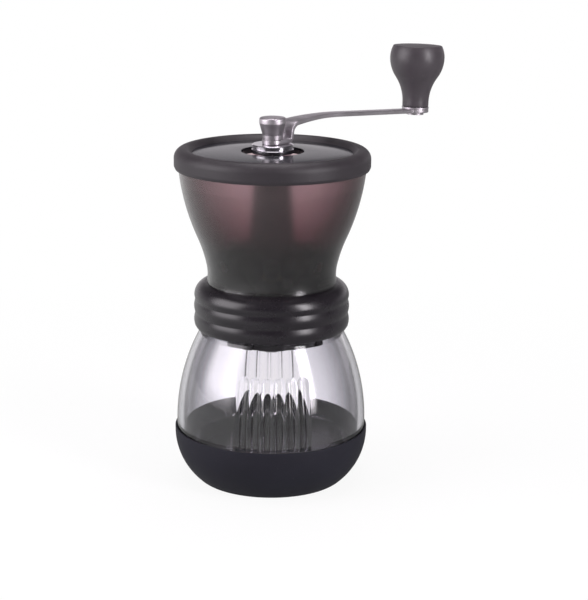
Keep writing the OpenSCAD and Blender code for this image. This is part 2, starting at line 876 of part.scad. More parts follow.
module burr_carrier() {
    color([0.15, 0.15, 0.16])
        difference() {
            union() {
                translate([0, 0, carrier_z])
                    cylinder(r = carrier_flange_r, h = carrier_flange_t);
                translate([0, 0, cone_low_z])
                    cylinder(r = cone_bore_r - seat_clear, h = cone_h - carrier_recess);
            }
            translate([0, 0, carrier_z - cut])
                linear_extrude(cone_h + carrier_flange_t)
                    two_flats(shaft_r + seat_clear, flat_r + seat_clear);
        }
}

module inner_burr() {
    groove_r = 1.2;
    lean = atan((cone_low_r - cone_top_r) / (cone_h - cone_edge_h));
    color([0.92, 0.91, 0.87])
        difference() {
            rotate_extrude()
                polygon([
                    [cone_bore_r, cone_low_z], [cone_low_r, cone_low_z],
                    [cone_low_r, cone_low_z + cone_edge_h],
                    [cone_top_r, cone_low_z + cone_h], [cone_bore_r, cone_low_z + cone_h]
                ]);
            around(tooth_count, 0)
                translate([cone_low_r, 0, cone_low_z + cone_edge_h])
                    rotate([18, -lean, 0])
                        cylinder(r = groove_r, h = 2 * cone_h, $fn = 32);
        }
}

module burr_washer() {
    color([0.75, 0.75, 0.76])
        ring(burr_washer_z, burr_washer_t, burr_washer_r, shaft_r + seat_clear);
}

module burr_nut() {
    color([0.75, 0.75, 0.76])
        translate([0, 0, burr_nut_z])
            difference() {
                cylinder(r = burr_nut_r, h = burr_nut_h, $fn = 6);
                translate([0, 0, -cut])
                    cylinder(r = shaft_r + seat_clear, h = burr_nut_h + 2 * cut);
            }
}

// Centre line of the spring
spring_path = [for (i = [0 : spring_turns * spring_rings])
    let (a = 360 * i / spring_rings, share = i / (spring_turns * spring_rings))
    [spring_r * cos(a), spring_r * sin(a), spring_low_z + (spring_high_z - spring_low_z) * share]];

// Least gap between one curl of the spring and the next
spring_gap = min([for (i = [0 : len(spring_path) - 1])
    for (j = [i + spring_rings / 2 : 1 : len(spring_path) - 1])
        norm(spring_path[i] - spring_path[j])]) - 2 * spring_wire_r;

module burr_spring() {
    echo(spring_gap = spring_gap);
    rings = [for (i = [0 : len(spring_path) - 1])
        let (turn = 360 * i / spring_rings, p = spring_path[i])
        [for (j = [0 : spring_sides - 1])
            let (a = 360 * j / spring_sides, out = spring_wire_r * cos(a), up = spring_wire_r * sin(a))
            p + [out * cos(turn), out * sin(turn), up]]];
    color([0.75, 0.75, 0.76])
        swept(rings);
}

// Side view of the bent bar, from the shaft outwards
function bar_outline() = let (
    back = -leg_w,
    top = [for (i = [0 : arc_steps])
        let (a = arm_lift - (arm_lift + arm_droop) * i / arc_steps)
        [arm_crown_x - arm_crown_r * sin(a), arm_crown_z - arm_crown_r * (1 - cos(a))]],
    end_z = pad_start_z - (arm_end_x - pad_start_x) * tan(knob_lean),
    under = [for (p = top) p - [0, bar_t]],
    outer_bend = bend_r + bar_t,
    upper_bend = [for (i = [1 : arc_steps])
        let (a = 90 * i / arc_steps)
        [arm_start - outer_bend * sin(a), arm_start_z - outer_bend * (1 - cos(a))]],
    lower_bend = [for (i = [1 : arc_steps])
        let (a = 90 * i / arc_steps)
        [arm_start - bend_r * sin(a), arm_start_z - bar_t - bend_r * (1 - cos(a))]],
    foot_outer = foot_bend_r + bar_t,
    foot_inner_arc = arc([leg_reach - foot_outer, seat_z + foot_outer], foot_bend_r, 0, -90),
    foot_outer_arc = arc([leg_reach - foot_outer, seat_z + foot_outer], foot_outer, -90, 0)
) concat(
    [[back, seat_z]], foot_outer_arc, reversed(lower_bend), under,
    [[pad_start_x, pad_start_z - bar_t], [arm_end_x, end_z - bar_t], [arm_end_x, end_z],
     [pad_start_x, pad_start_z]],
    reversed(top), upper_bend, foot_inner_arc, [[back, bar_top_z]]
);

module crank_arm() {
    taper_x = arm_start + arm_taper;
    tall = 3 * crank_rise;
    color([0.62, 0.62, 0.63])
        in_crank()
            difference() {
                intersection() {
                    rotate([90, 0, 0])
                        linear_extrude(2 * leg_w, center = true)
                            polygon(bar_outline());
                    translate([0, 0, seat_z - crank_rise])
                        linear_extrude(tall)
                            union() {
                                circle(d = leg_w);
                                polygon([
                                    [0, -leg_w / 2], [arm_start, -leg_w / 2], [taper_x, -arm_w / 2],
                                    [crank_reach, -arm_w / 2], [crank_reach, arm_w / 2], [taper_x, arm_w / 2],
                                    [arm_start, leg_w / 2], [0, leg_w / 2]
                                ]);
                                translate([crank_reach, 0])
                                    circle(r = pad_r);
                            }
                }
                translate([0, 0, seat_z - cut])
                    linear_extrude(bar_t + 2 * cut)
                        two_flats(stud_r + seat_clear, stud_flat_r + seat_clear);
                translate([crank_reach, 0, knob_seat_z])
                    rotate([0, knob_lean, 0])
                        cylinder(r = pin_neck_r + seat_clear, h = 4 * bar_t, center = true);
            }
}

module handle_nut() {
    neck_r = handle_neck_d / 2;
    head_r = handle_nut_d / 2;
    head_z = handle_nut_h - handle_head_h;
    edge = arc([head_r - handle_edge, handle_nut_h - handle_edge], handle_edge, 0, 90);
    color([0.66, 0.66, 0.68])
        translate([0, 0, bar_top_z])
            difference() {
                rotate_extrude()
                    polygon(concat(
                        [[0, 0], [neck_r, 0], [neck_r, head_z - handle_cone_h], [head_r, head_z]], edge,
                        [[0, handle_nut_h]]
                    ));
                translate([0, 0, -cut])
                    cylinder(r = stud_r + seat_clear, h = handle_nut_h - handle_nut_roof + cut);
            }
}

module knob_pin() {
    color([0.72, 0.72, 0.73])
        on_arm() {
            translate([0, 0, -bar_t - rivet_t])
                cylinder(r = rivet_r, h = rivet_t);
            translate([0, 0, -bar_t])
                cylinder(r = pin_neck_r, h = bar_t);
            cylinder(r = pin_r, h = knob_cavity + face_gap);
            translate([0, 0, knob_cavity + face_gap])
                cylinder(r = pin_head_r, h = pin_head_t);
        }
}

module knob_washer() {
    color([0.75, 0.75, 0.76])
        on_arm()
            ring(0, knob_washer_t, knob_foot_r + 0.2, pin_r + seat_clear);
}

module knob_grip() {
    lower = [for (i = [0 : arc_steps])
        let (a = knob_slope * i / arc_steps)
        [knob_foot_r + knob_low_curve_r * (1 - cos(a)),
         knob_low + knob_straight + knob_low_curve_r * sin(a)]];
    upper = [for (i = [1 : arc_steps])
        let (a = knob_slope * (1 - i / arc_steps))
        [knob_max_r - knob_high_curve_r * (1 - cos(a)),
         knob_h - knob_edge_h - knob_high_curve_r * sin(a)]];
    edge = arc([knob_max_r - knob_edge_curve_r, knob_h - knob_edge_h], knob_edge_curve_r, 0,
        asin(knob_edge_h / knob_edge_curve_r));
    color([0.3, 0.28, 0.3])
        on_arm()
            rotate_extrude()
                polygon(concat(
                    [[pin_r + run_clear, knob_low], [knob_foot_r - knob_foot_edge, knob_low],
                     [knob_foot_r, knob_low + knob_foot_edge]],
                    lower, upper, [for (i = [1 : arc_steps]) edge[i]],
                    [[cap_r + seat_clear, knob_h], [cap_r + seat_clear, cap_seat],
                     [cap_spigot_r + seat_clear, cap_seat], [cap_spigot_r + seat_clear, knob_cavity],
                     [pin_r + run_clear, knob_cavity]]
                ));
}

module knob_cap() {
    dome = arc([0, knob_h + dome_h - dome_r], dome_r, asin((dome_r - dome_h) / dome_r), 90);
    color([0.32, 0.3, 0.32])
        on_arm()
            rotate_extrude()
                polygon(concat(
                    [[0, cap_seat], [cap_spigot_r - cap_spigot_wall, cap_seat],
                     [cap_spigot_r - cap_spigot_wall, cap_seat - cap_spigot_h],
                     [cap_spigot_r, cap_seat - cap_spigot_h], [cap_spigot_r, cap_seat], [cap_r, cap_seat]],
                    dome
                ));
}

module lid_rim() {
    crest = arc([lid_r - lid_round, crest_z - lid_round], lid_round, 0, lid_round_end);
    low_z = mouth_z - lid_skirt;
    ledge_r = plate_r - plate_ledge_w;
    ledge_z = plate_seat_z - plate_ledge_t;
    color([0.25, 0.23, 0.25])
        rotate_extrude()
            polygon(concat(
                [[lid_inner_r, low_z], [lid_r - lid_foot_w, low_z], [lid_r, low_z + lid_foot_h]],
                crest,
                [[plate_r + seat_clear, plate_seat_z + plate_t], [plate_r + seat_clear, plate_seat_z],
                 [ledge_r, plate_seat_z], [ledge_r, ledge_z], [lid_plug_r, ledge_z], [lid_plug_r, mouth_z],
                 [lid_inner_r, mouth_z]]
            ));
}

// Rise of the domed plate at a distance from the middle
function plate_dome(r) = plate_rise * (1 - ((r - plate_hole_r) / (plate_r - plate_hole_r)) ^ 2);

module lid_plate() {
    flat_r = plate_r - plate_ledge_w - plate_ledge_gap;
    hole_edge_r = plate_hole_r + plate_edge;
    top = [for (i = [0 : arc_steps])
        let (r = plate_r + (hole_edge_r - plate_r) * i / arc_steps)
        [r, plate_seat_z + plate_t + plate_dome(r)]];
    under = [for (i = [0 : arc_steps])
        let (r = plate_hole_r + (flat_r - plate_hole_r) * i / arc_steps)
        [r, plate_seat_z + plate_dome(r)]];
    color([0.2, 0.2, 0.22])
        rotate_extrude()
            polygon(concat(
                top, [[plate_hole_r, plate_seat_z + plate_t + plate_rise - plate_edge]], under,
                [[flat_r, plate_seat_z], [plate_r, plate_seat_z]]
            ));
}

non_slip_base();
glass_jar();
jar_seal();
screw_collar();
hopper();
burr_housing();
housing_screws();
lower_bush();
outer_burr();
burr_holder();
holder_screws();
shaft_bridge();
bridge_screws();
upper_bush();
thrust_washer();
lock_ring();
adjusting_nut();
drive_shaft();
burr_carrier();
inner_burr();
burr_washer();
burr_nut();
burr_spring();
crank_arm();
handle_nut();
knob_pin();
knob_washer();
knob_grip();
knob_cap();
lid_rim();
lid_plate();
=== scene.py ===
from math import asin, atan2, cos, hypot, pi, radians, sin, sqrt, tan, tau

import bmesh
import bpy
from bpy.props import FloatProperty, FloatVectorProperty, IntProperty, PointerProperty
from bpy.types import NodeSocket, Operator, Panel, PropertyGroup
from mathutils import Matrix, Vector


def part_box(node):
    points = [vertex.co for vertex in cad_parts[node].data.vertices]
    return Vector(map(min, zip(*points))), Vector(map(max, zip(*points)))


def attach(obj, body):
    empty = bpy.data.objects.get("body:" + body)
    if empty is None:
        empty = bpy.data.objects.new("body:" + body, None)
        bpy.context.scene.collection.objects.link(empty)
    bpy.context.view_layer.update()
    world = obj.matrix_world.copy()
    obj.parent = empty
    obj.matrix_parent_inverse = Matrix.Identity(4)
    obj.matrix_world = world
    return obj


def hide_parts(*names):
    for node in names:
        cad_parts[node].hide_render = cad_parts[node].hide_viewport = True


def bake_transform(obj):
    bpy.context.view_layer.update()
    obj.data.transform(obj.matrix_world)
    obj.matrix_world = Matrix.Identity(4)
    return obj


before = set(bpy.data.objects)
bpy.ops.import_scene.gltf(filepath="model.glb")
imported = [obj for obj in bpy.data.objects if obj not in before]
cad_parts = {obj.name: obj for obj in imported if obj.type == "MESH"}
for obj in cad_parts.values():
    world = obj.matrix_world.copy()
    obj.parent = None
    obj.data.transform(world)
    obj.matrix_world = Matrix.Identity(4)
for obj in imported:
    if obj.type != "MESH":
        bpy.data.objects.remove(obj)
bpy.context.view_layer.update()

bl_info = {
    "name": "Hand coffee grinder",
    "version": (1, 0, 0),
    "blender": (4, 5, 0),
    "location": "3D View > Sidebar > Grinder",
    "description": "Builds the visible pieces, the finishes and the stage of a hand coffee grinder",
    "category": "Object",
}

MM = 0.001
FIT_GAP = 0.05 * MM
AXIS_R = 1e-7
TURN_STEPS = 160
SHARP_ANGLE = radians(34)
GLASS_SHARP_ANGLE = radians(60)
FLUTED_SIDES = (-pi / 2, pi / 2)
# Largest share of a profile's straight that the round of one corner takes
CORNER_SHARE = 0.48


# Properties

def length(label, about, millimetres):
    return FloatProperty(name=label, description=about, default=millimetres * MM, min=0.0,
                         unit="LENGTH", precision=5)


def slope(label, about, degrees):
    return FloatProperty(name=label, description=about, default=radians(degrees), subtype="ANGLE")


def amount(label, about, value):
    return FloatProperty(name=label, description=about, default=value, min=0.0)


def colour(label, about, *rgb):
    return FloatVectorProperty(name=label, description=about, default=rgb, size=3, min=0.0, max=1.0,
                               subtype="COLOR")


def group(kind, label, about):
    return PointerProperty(type=kind, name=label, description=about)


class BaseSizes(PropertyGroup):
    rim_z: length("Rim height", "Height of the cup's rim over the table", 26)
    turn_z: length("Turn height", "Height where the cup's side turns upright", 24)
    outer_r: length("Outer radius", "Radius of the cup at its rim", 46.45)
    wall: length("Wall", "Thickness of the cup's side", 0.9)
    floor: length("Floor", "Thickness of the cup's floor", 4)
    curve_r: length("Side curve", "Radius of the cup's rounded side", 30.878)


class JarSizes(PropertyGroup):
    outer_r: length("Outer radius", "Radius of the jar at its belly", 45.5)
    neck_r: length("Neck radius", "Radius of the neck under the thread", 32.5)
    wall: length("Wall", "Thickness of the glass", 3.2)
    floor_z: length("Inner floor", "Height of the inner floor over the table", 11)
    bowl: length("Bowl", "Rise of the inner floor from its middle to the side", 6)
    belly_z: length("Belly height", "Height where the shoulder starts", 29)
    lip_z: length("Lip height", "Height of the jar's lip", 88)
    shoulder_r: length("Shoulder curve", "Radius of the shoulder's curve", 93)
    foot_curve_r: length("Foot curve", "Radius of the rounded foot", 29.928)
    flute_count: IntProperty(name="Flutes", description="Flutes in each panel", default=6, min=1)
    flute_step: slope("Flute step", "Angle from one flute to the next", 7.8)
    flute_turn: slope("Flute turn", "Turn of both fluted panels", 2.2)
    flute_r: length("Flute radius", "Radius of a flute's round section", 4)
    flute_depth: length("Flute depth", "Depth of a flute", 1.2)
    flute_end_z: length("Flute end", "Height of the middle of a flute's round end", 57.84)
    neck_low_z: length("Neck's lower end", "Height where the inside of the neck ends", 73.6)
    flare_z: length("Flare", "Height where the inside has reached the shoulder's curve", 71)
    thread_z: length("Thread height", "Height where the neck's thread starts", 78.2)
    thread_turns: amount("Thread turns", "Turns of the neck's thread", 1.2)


class CollarSizes(PropertyGroup):
    outer_r: length("Outer radius", "Radius over the ribs", 37.1)
    bore_r: length("Bore", "Radius of the bore inside the thread", 34.05)
    low_z: length("Lower edge", "Height of the collar's lower edge", 75)
    plate_z: length("Top plate", "Height of the top plate's underside", 92)
    top_z: length("Top", "Height of the collar's top", 97)
    spigot_r: length("Hole", "Radius of the hole in the top plate", 27.45)
    rib_pitch: length("Rib pitch", "Distance from one rib to the next", 6.5)
    rib_depth: length("Rib depth", "Depth of the grooves between ribs", 0.6)
    shoulder_w: length("Shoulder", "Width of the rounded shoulder", 6.1)
    thread_z: length("Thread height", "Height where the inner thread starts", 75.7)


class HopperSizes(PropertyGroup):
    waist_r: length("Waist", "Radius at the waist", 29.8)
    waist_z: length("Waist height", "Height of the waist", 97)
    middle_z: length("Middle height", "Height of the steepest flare", 119)
    mouth_z: length("Mouth height", "Height of the mouth", 155.5)
    waist_slope: slope("Waist slope", "Flare at the waist", 5)
    middle_slope: slope("Middle slope", "Flare at the middle", 24)
    mouth_slope: slope("Mouth slope", "Flare at the mouth", 4)
    wall: length("Wall", "Thickness of the hopper's wall", 2.6)
    throat_r: length("Throat", "Radius of the throat", 15.5)
    throat_z: length("Throat height", "Height where the funnel meets the throat", 95)
    funnel_z: length("Funnel height", "Height where the funnel leaves the wall", 129)
    funnel_bend: length("Funnel bend", "Height of the bend from the funnel to the wall, to each side", 15)
    seat_flare: length("Seat flare", "Width of the hollow round at the waist", 1.15)
    seat_flare_h: length("Seat flare height", "Height of the hollow round at the waist", 9)
    spigot_r: length("Spigot", "Radius of the spigot in the collar", 27.4)
    spigot_z: length("Spigot height", "Height of the spigot's lower end", 92)
    ledge_z: length("Ledge height", "Height of the ledges under the bridge", 111)


class LidSizes(PropertyGroup):
    outer_r: length("Outer radius", "Radius of the lid's rim", 46.29)
    inner_r: length("Inner radius", "Radius inside the lid's skirt", 44.99)
    plug_r: length("Plug", "Radius of the step inside the hopper's mouth", 41.59)
    low_z: length("Lower edge", "Height of the rim's lower edge", 151.6)
    crest_z: length("Crest", "Height of the rim's crest", 161.2)
    crest_round: length("Crest round", "Radius of the rim's crest", 4.6)
    plate_r: length("Plate", "Radius of the glossy plate", 38)
    plate_z: length("Plate seat", "Height of the plate's underside", 155.8)
    plate_t: length("Plate thickness", "Thickness of the plate", 3)
    plate_rise: length("Plate rise", "Rise of the plate from its edge to its hole", 0.9)
    hole_r: length("Hole", "Radius of the hole in the plate", 14.8)


class CrankSizes(PropertyGroup):
    turn: slope("Turn", "Direction of the crank from the right-hand side", 48.7)
    reach: length("Reach", "Distance from the shaft to the knob", 109)
    seat_z: length("Seat", "Height of the crank's seat on the shaft", 163.1)
    bar_t: length("Thickness", "Thickness of the bar", 2)
    leg_w: length("Leg width", "Width of the bar at the shaft", 10)
    arm_w: length("Arm width", "Width of the bar along the arm", 6.5)
    leg_reach: length("Leg reach", "Distance from the shaft to the leg's outer face", 9.6)
    bend_r: length("Bend", "Inner radius of the upper bend", 4)
    foot_bend_r: length("Foot bend", "Inner radius of the bend at the foot", 1)
    crown_z: length("Crown", "Height of the arm's highest point", 173.8)
    crown_r: length("Crown curve", "Radius of the arm's curve", 200)
    lift: slope("Lift", "Slope of the arm where it leaves the leg", 5)
    droop: slope("Droop", "Slope of the arm down to the knob", 4.3)
    lean: slope("Lean", "Lean of the pad and the knob away from the shaft", 1.5)
    pad_r: length("Pad", "Radius of the pad under the knob", 6.8)
    pad_lead: length("Pad lead", "Length of the bend before the pad", 1)
    stud_r: length("Stud", "Radius of the stud through the crank", 2.5)
    nut_h: length("Nut height", "Height of the handle nut", 10.5)
    nut_r: length("Nut head", "Radius of the handle nut's head", 6.35)
    nut_neck_r: length("Nut neck", "Radius of the handle nut's neck", 4.8)


class KnobSizes(PropertyGroup):
    seat_z: length("Seat", "Height of the arm's top under the knob", 168.884)
    low: length("Lower end", "Height of the grip's lower end over the arm", 0.9)
    height: length("Height", "Height of the grip's upper edge over the arm", 31.8)
    foot_r: length("Foot", "Radius of the grip's foot", 6.7)
    straight: length("Straight", "Height of the straight part of the foot", 2.2)
    flare: slope("Flare", "Steepest slope of the grip", 35)
    edge_h: length("Edge height", "Height of the turned-in edge", 6)
    edge_curve_r: length("Edge curve", "Radius of the turned-in edge", 13)
    bore_r: length("Bore", "Radius of the bore round the pin", 3.03)
    cap_r: length("Cap", "Radius of the cap", 11.89)
    cap_t: length("Cap edge", "Thickness of the cap's edge", 1.5)
    cap_gap: length("Cap groove", "Width of the groove round the cap", 0.3)
    dome: length("Dome", "Rise of the cap", 0.4)


class SpringSizes(PropertyGroup):
    wire_r: length("Wire", "Radius of the spring's wire", 0.4)
    turns: amount("Turns", "Turns of the spring", 4.0)


class Finishes(PropertyGroup):
    rubber: colour("Rubber", "Soft base", 0.0125, 0.0125, 0.019)
    collar: colour("Collar", "Ribbed collar", 0.010, 0.008, 0.011)
    smoke: colour("Smoke", "Light that passes the hopper's see-through plastic", 0.40, 0.14, 0.20)
    smoke_density: amount("Smoke density", "How strongly the hopper's plastic absorbs light, per metre", 330.0)
    rim: colour("Lid rim", "Matt ring of the lid", 0.021, 0.017, 0.021)
    plate: colour("Lid plate", "Glossy plate of the lid", 0.018, 0.018, 0.023)
    knob: colour("Knob", "Grip and cap", 0.046, 0.039, 0.045)
    housing: colour("Housing", "Plastic of the burr housing and the bridge", 0.016, 0.015, 0.016)
    seal: colour("Seal", "Silicone ring", 0.62, 0.61, 0.58)
    satin: colour("Satin steel", "Crank and handle nut", 0.49, 0.46, 0.49)
    chrome: colour("Chrome", "Adjusting nut and lock ring", 0.66, 0.64, 0.68)
    steel: colour("Steel", "Shaft, screws, washers and spring", 0.36, 0.35, 0.36)
    dark_steel: colour("Dark steel", "Screws, washer and nut under the burrs", 0.06, 0.058, 0.062)
    brass: colour("Brass", "Bushes", 0.72, 0.52, 0.24)
    ceramic: colour("Ceramic", "Burrs", 0.80, 0.78, 0.72)


class StageSettings(PropertyGroup):
    camera_away: length("Camera distance", "Distance of the camera from the shaft's axis", 800)
    camera_side: length("Camera side", "Offset of the camera to the right", 10.7)
    camera_up: length("Camera height", "Height of the camera over the table", 294.5)
    camera_pitch: slope("Camera pitch", "How far the camera looks down", 14.5)
    camera_roll: slope("Camera roll", "Roll of the camera", 0.55)
    lens: FloatProperty(name="Lens", description="Focal length in millimetres", default=103.5, min=1.0)
    world: amount("World", "Strength of the even light from all round", 0.35)
    backdrop: amount("Backdrop", "Strength of the backdrop as gloss shows it", 0.95)
    mirrored: amount("Studio", "Strength of the rest of the studio as gloss shows it", 0.08)
    tint: colour("Tint", "Colour of the studio's light", 1.0, 0.955, 1.0)
    # Painted light: how brightly the floor glows on the left and on the right as gloss shows it, standing in for the
    # lamps' light on it
    floor_left: amount("Floor on the left", "Strength of the floor on the left as gloss shows it", 0.85)
    floor_right: amount("Floor on the right", "Strength of the floor on the right as gloss shows it", 0.35)
    floor_white: amount("Floor white", "Share of the floor that is pure white; the rest takes shadows", 0.9)
    left: amount("Left light", "Power of the broad light on the left, in watts", 10.0)
    right: amount("Right light", "Power of the slim light on the right, in watts", 8.0)
    top: amount("Top light", "Power of the light overhead, in watts", 5.5)


class GrinderSettings(PropertyGroup):
    base: group(BaseSizes, "Base", "Sizes of the soft base")
    jar: group(JarSizes, "Jar", "Sizes of the glass jar")
    collar: group(CollarSizes, "Collar", "Sizes of the screw collar")
    hopper: group(HopperSizes, "Hopper", "Sizes of the hopper")
    lid: group(LidSizes, "Lid", "Sizes of the lid")
    crank: group(CrankSizes, "Crank", "Sizes of the crank")
    knob: group(KnobSizes, "Knob", "Sizes of the knob")
    spring: group(SpringSizes, "Spring", "Sizes of the spring over the inner burr")
    finishes: group(Finishes, "Finishes", "Colours of the pieces")
    stage: group(StageSettings, "Stage", "Camera and light")


# Shapes

def even(low, high, count):
    """A count of even steps from low to high."""
    return [low + (high - low) * i / count for i in range(count + 1)]


def spread(low, high, step):
    """Even steps from low to high, about as far apart as a step in millimetres."""
    return even(low, high, max(1, round((high - low) / (step * MM))))


def arc(centre, radius, start, end, count):
    """Points on a round arc, with its angles in radians from the outward direction."""
    return [(centre[0] + radius * cos(a), centre[1] + radius * sin(a)) for a in even(start, end, count)]


def wrapped(angle):
    """The same direction as an angle of at most half a turn either way."""
    return (angle + pi) % tau - pi


def soften(profile, count=6):
    """Closed profile with each corner that names a radius, in millimetres, rounded to it."""
    points = []
    for i, corner in enumerate(profile):
        here = Vector(corner[:2])
        if len(corner) == 2:
            points.append(tuple(here))
            continue
        before = Vector(profile[i - 1][:2]) - here
        after = Vector(profile[(i + 1) % len(profile)][:2]) - here
        half = before.angle(after) / 2
        reach = min(corner[2] * MM / tan(half), CORNER_SHARE * before.length, CORNER_SHARE * after.length)
        radius = reach * tan(half)
        middle = here + (before.normalized() + after.normalized()).normalized() * radius / sin(half)
        first = here + before.normalized() * reach - middle
        last = here + after.normalized() * reach - middle
        start = atan2(first.y, first.x)
        sweep = wrapped(atan2(last.y, last.x) - start)
        points += arc(middle, radius, start, start + sweep, count)
    return points


def new_object(name, data):
    obj = bpy.data.objects.new(name, data)
    bpy.context.scene.collection.objects.link(obj)
    return obj


def piece(name, points, faces):
    """Mesh object with smooth sides and sharp edges."""
    mesh = bpy.data.meshes.new(name)
    mesh.from_pydata(points, [], faces)
    obj = new_object(name, mesh)
    tidy_faces(obj)
    return obj


def tidy_faces(obj):
    work = bmesh.new()
    work.from_mesh(obj.data)
    bmesh.ops.recalc_face_normals(work, faces=work.faces)
    work.to_mesh(obj.data)
    work.free()
    obj.data.shade_smooth()
    obj.data.set_sharp_from_angle(angle=SHARP_ANGLE)


def turned(name, profile, angles=None, mould=None):
    """Closed profile of radius and height turned round Z. A mould gives the radius by row, angle, radius and height."""
    angles = angles or even(0, tau, TURN_STEPS)[:-1]
    points, rings, faces = [], [], []
    for row, (r, z) in enumerate(profile):
        if r < AXIS_R:
            rings.append([len(points)])
            points.append((0.0, 0.0, z))
            continue
        rings.append(list(range(len(points), len(points) + len(angles))))
        for angle in angles:
            at = mould(row, angle, r, z) if mould else r
            points.append((at * cos(angle), at * sin(angle), z))
    for low, high in zip(rings, rings[1:] + rings[:1]):
        for i in range(len(angles)):
            j = (i + 1) % len(angles)
            corners = (low[i % len(low)], low[j % len(low)], high[j % len(high)], high[i % len(high)])
            face = list(dict.fromkeys(corners))
            if len(face) > 2:
                faces.append(face)
    return piece(name, points, faces)


def tube_faces(rings, sides):
    """Faces of a tube whose points run ring by ring, with its ends shut."""
    faces = []
    for low in range(0, (rings - 1) * sides, sides):
        for i in range(sides):
            j = (i + 1) % sides
            faces.append((low + i, low + j, low + sides + j, low + sides + i))
    return faces + [tuple(range(sides)), tuple(range((rings - 1) * sides, rings * sides))]


def carve(obj, tool, operation):
    """Joins a tool's solid to a piece, or takes it away, and deletes the tool."""
    step = obj.modifiers.new("carve", "BOOLEAN")
    step.object = tool
    step.operation = operation
    step.solver = "EXACT"
    shaped = bpy.data.meshes.new_from_object(obj.evaluated_get(bpy.context.evaluated_depsgraph_get()))
    obj.modifiers.clear()
    plain, spare = obj.data, tool.data
    obj.data = shaped
    bpy.data.objects.remove(tool)
    bpy.data.meshes.remove(plain)
    bpy.data.meshes.remove(spare)
    shaped.name = obj.name
    tidy_faces(obj)


def from_work(name, work):
    mesh = bpy.data.meshes.new(name)
    work.to_mesh(mesh)
    work.free()
    return new_object(name, mesh)


def peg(radius, low, high):
    """Upright peg on the Z axis, for boring a hole."""
    work = bmesh.new()
    bmesh.ops.create_cone(work, cap_ends=True, segments=32, radius1=radius, radius2=radius, depth=high - low,
                          matrix=Matrix.Translation((0, 0, (low + high) / 2)))
    return from_work("peg", work)


def blocks(spots):
    """Boxes given as a place and a size."""
    work = bmesh.new()
    for place, size in spots:
        bmesh.ops.create_cube(work, size=1.0, matrix=place @ Matrix.Diagonal((*size, 1.0)))
    return from_work("blocks", work)


def fit(obj, body, slot, material, *nodes):
    """Puts a finished piece in the place of its CAD nodes."""
    obj.data.materials.clear()
    obj.data.materials.append(material)
    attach(obj, body)
    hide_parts(*nodes)


# Shader nodes

def feed(tree, sockets, values):
    """Sets sockets, by label or number, to values, or links them where the value is a socket."""
    for label, value in values.items():
        if isinstance(value, NodeSocket):
            tree.links.new(value, sockets[label])
        else:
            sockets[label].default_value = value


def add_node(tree, kind, inputs=None, **settings):
    """Shader node with its settings and its inputs."""
    node = tree.nodes.new("ShaderNode" + kind)
    for label, value in settings.items():
        setattr(node, label, value)
    feed(tree, node.inputs, inputs or {})
    return node


def math_node(tree, operation, *values, clamp=False):
    return add_node(tree, "Math", dict(enumerate(values)), operation=operation, use_clamp=clamp).outputs[0]


def noise_node(tree, place, scale, detail, rough):
    inputs = {"Vector": place, "Scale": scale, "Detail": detail, "Roughness": rough}
    return add_node(tree, "TexNoise", inputs).outputs["Fac"]


def object_place(tree, stretch=None):
    """Place on the piece itself, stretched where grain runs one way."""
    place = add_node(tree, "TexCoord").outputs["Object"]
    if not stretch:
        return place
    return add_node(tree, "Mapping", {"Vector": place, "Scale": stretch}).outputs["Vector"]


def split_axes(tree, vector):
    """Outputs X, Y and Z of a vector."""
    return add_node(tree, "SeparateXYZ", {0: vector}).outputs


def remap(tree, value, low, high, to_low=0.0, to_high=1.0, ease="LINEAR"):
    inputs = {"Value": value, "From Min": low, "From Max": high, "To Min": to_low, "To Max": to_high}
    return add_node(tree, "MapRange", inputs, interpolation_type=ease).outputs["Result"]


def blend_colours(tree, mask, first, second):
    """Colour that goes from first to second with a mask; each is a colour or a socket."""
    return add_node(tree, "Mix", {0: mask, 6: first, 7: second}, data_type="RGBA").outputs[2]


def bumps(tree, height, depth):
    """Normal of a surface with a relief whose depth is in millimetres."""
    return add_node(tree, "Bump", {"Height": height, "Strength": 1.0, "Distance": depth * MM}).outputs["Normal"]


def edge_on(tree):
    """How far a face is seen edge-on, from nought to one."""
    return add_node(tree, "LayerWeight", {"Blend": 0.5}).outputs["Facing"]


def seen_by(tree, *rays):
    """One where a ray is of one of the given kinds, and nought elsewhere."""
    path = add_node(tree, "LightPath").outputs
    seen = path[rays[0]]
    for ray in rays[1:]:
        seen = math_node(tree, "MAXIMUM", seen, path[ray])
    return seen


def mixed(tree, share, first, second):
    """Shader that goes from first to second with a share."""
    return add_node(tree, "MixShader", {"Fac": share, 1: first.outputs[0], 2: second.outputs[0]})


# Node groups shared by the finishes

def new_group(name, inputs, outputs):
    """Empty shader group with float inputs and outputs, and the sockets inside it."""
    tree = bpy.data.node_groups.new(name, "ShaderNodeTree")
    for label, value in inputs.items():
        tree.interface.new_socket(label, in_out="INPUT", socket_type="NodeSocketFloat").default_value = value
    for label in outputs:
        tree.interface.new_socket(label, in_out="OUTPUT", socket_type="NodeSocketFloat")
    return tree, tree.nodes.new("NodeGroupInput").outputs, tree.nodes.new("NodeGroupOutput").inputs


def make_grain():
    """Fine grain of moulded plastic and rubber: height, and slow patches that shift colour and gloss."""
    tree, given, out = new_group("moulded grain", {"Scale": 1500.0, "Patch scale": 40.0}, ("Height", "Patches"))
    place = object_place(tree)
    fine = noise_node(tree, place, given["Scale"], 2.0, 0.6)
    patches = noise_node(tree, place, given["Patch scale"], 4.0, 0.6)
    feed(tree, out, {"Height": fine, "Patches": remap(tree, patches, 0.3, 0.7)})
    return tree


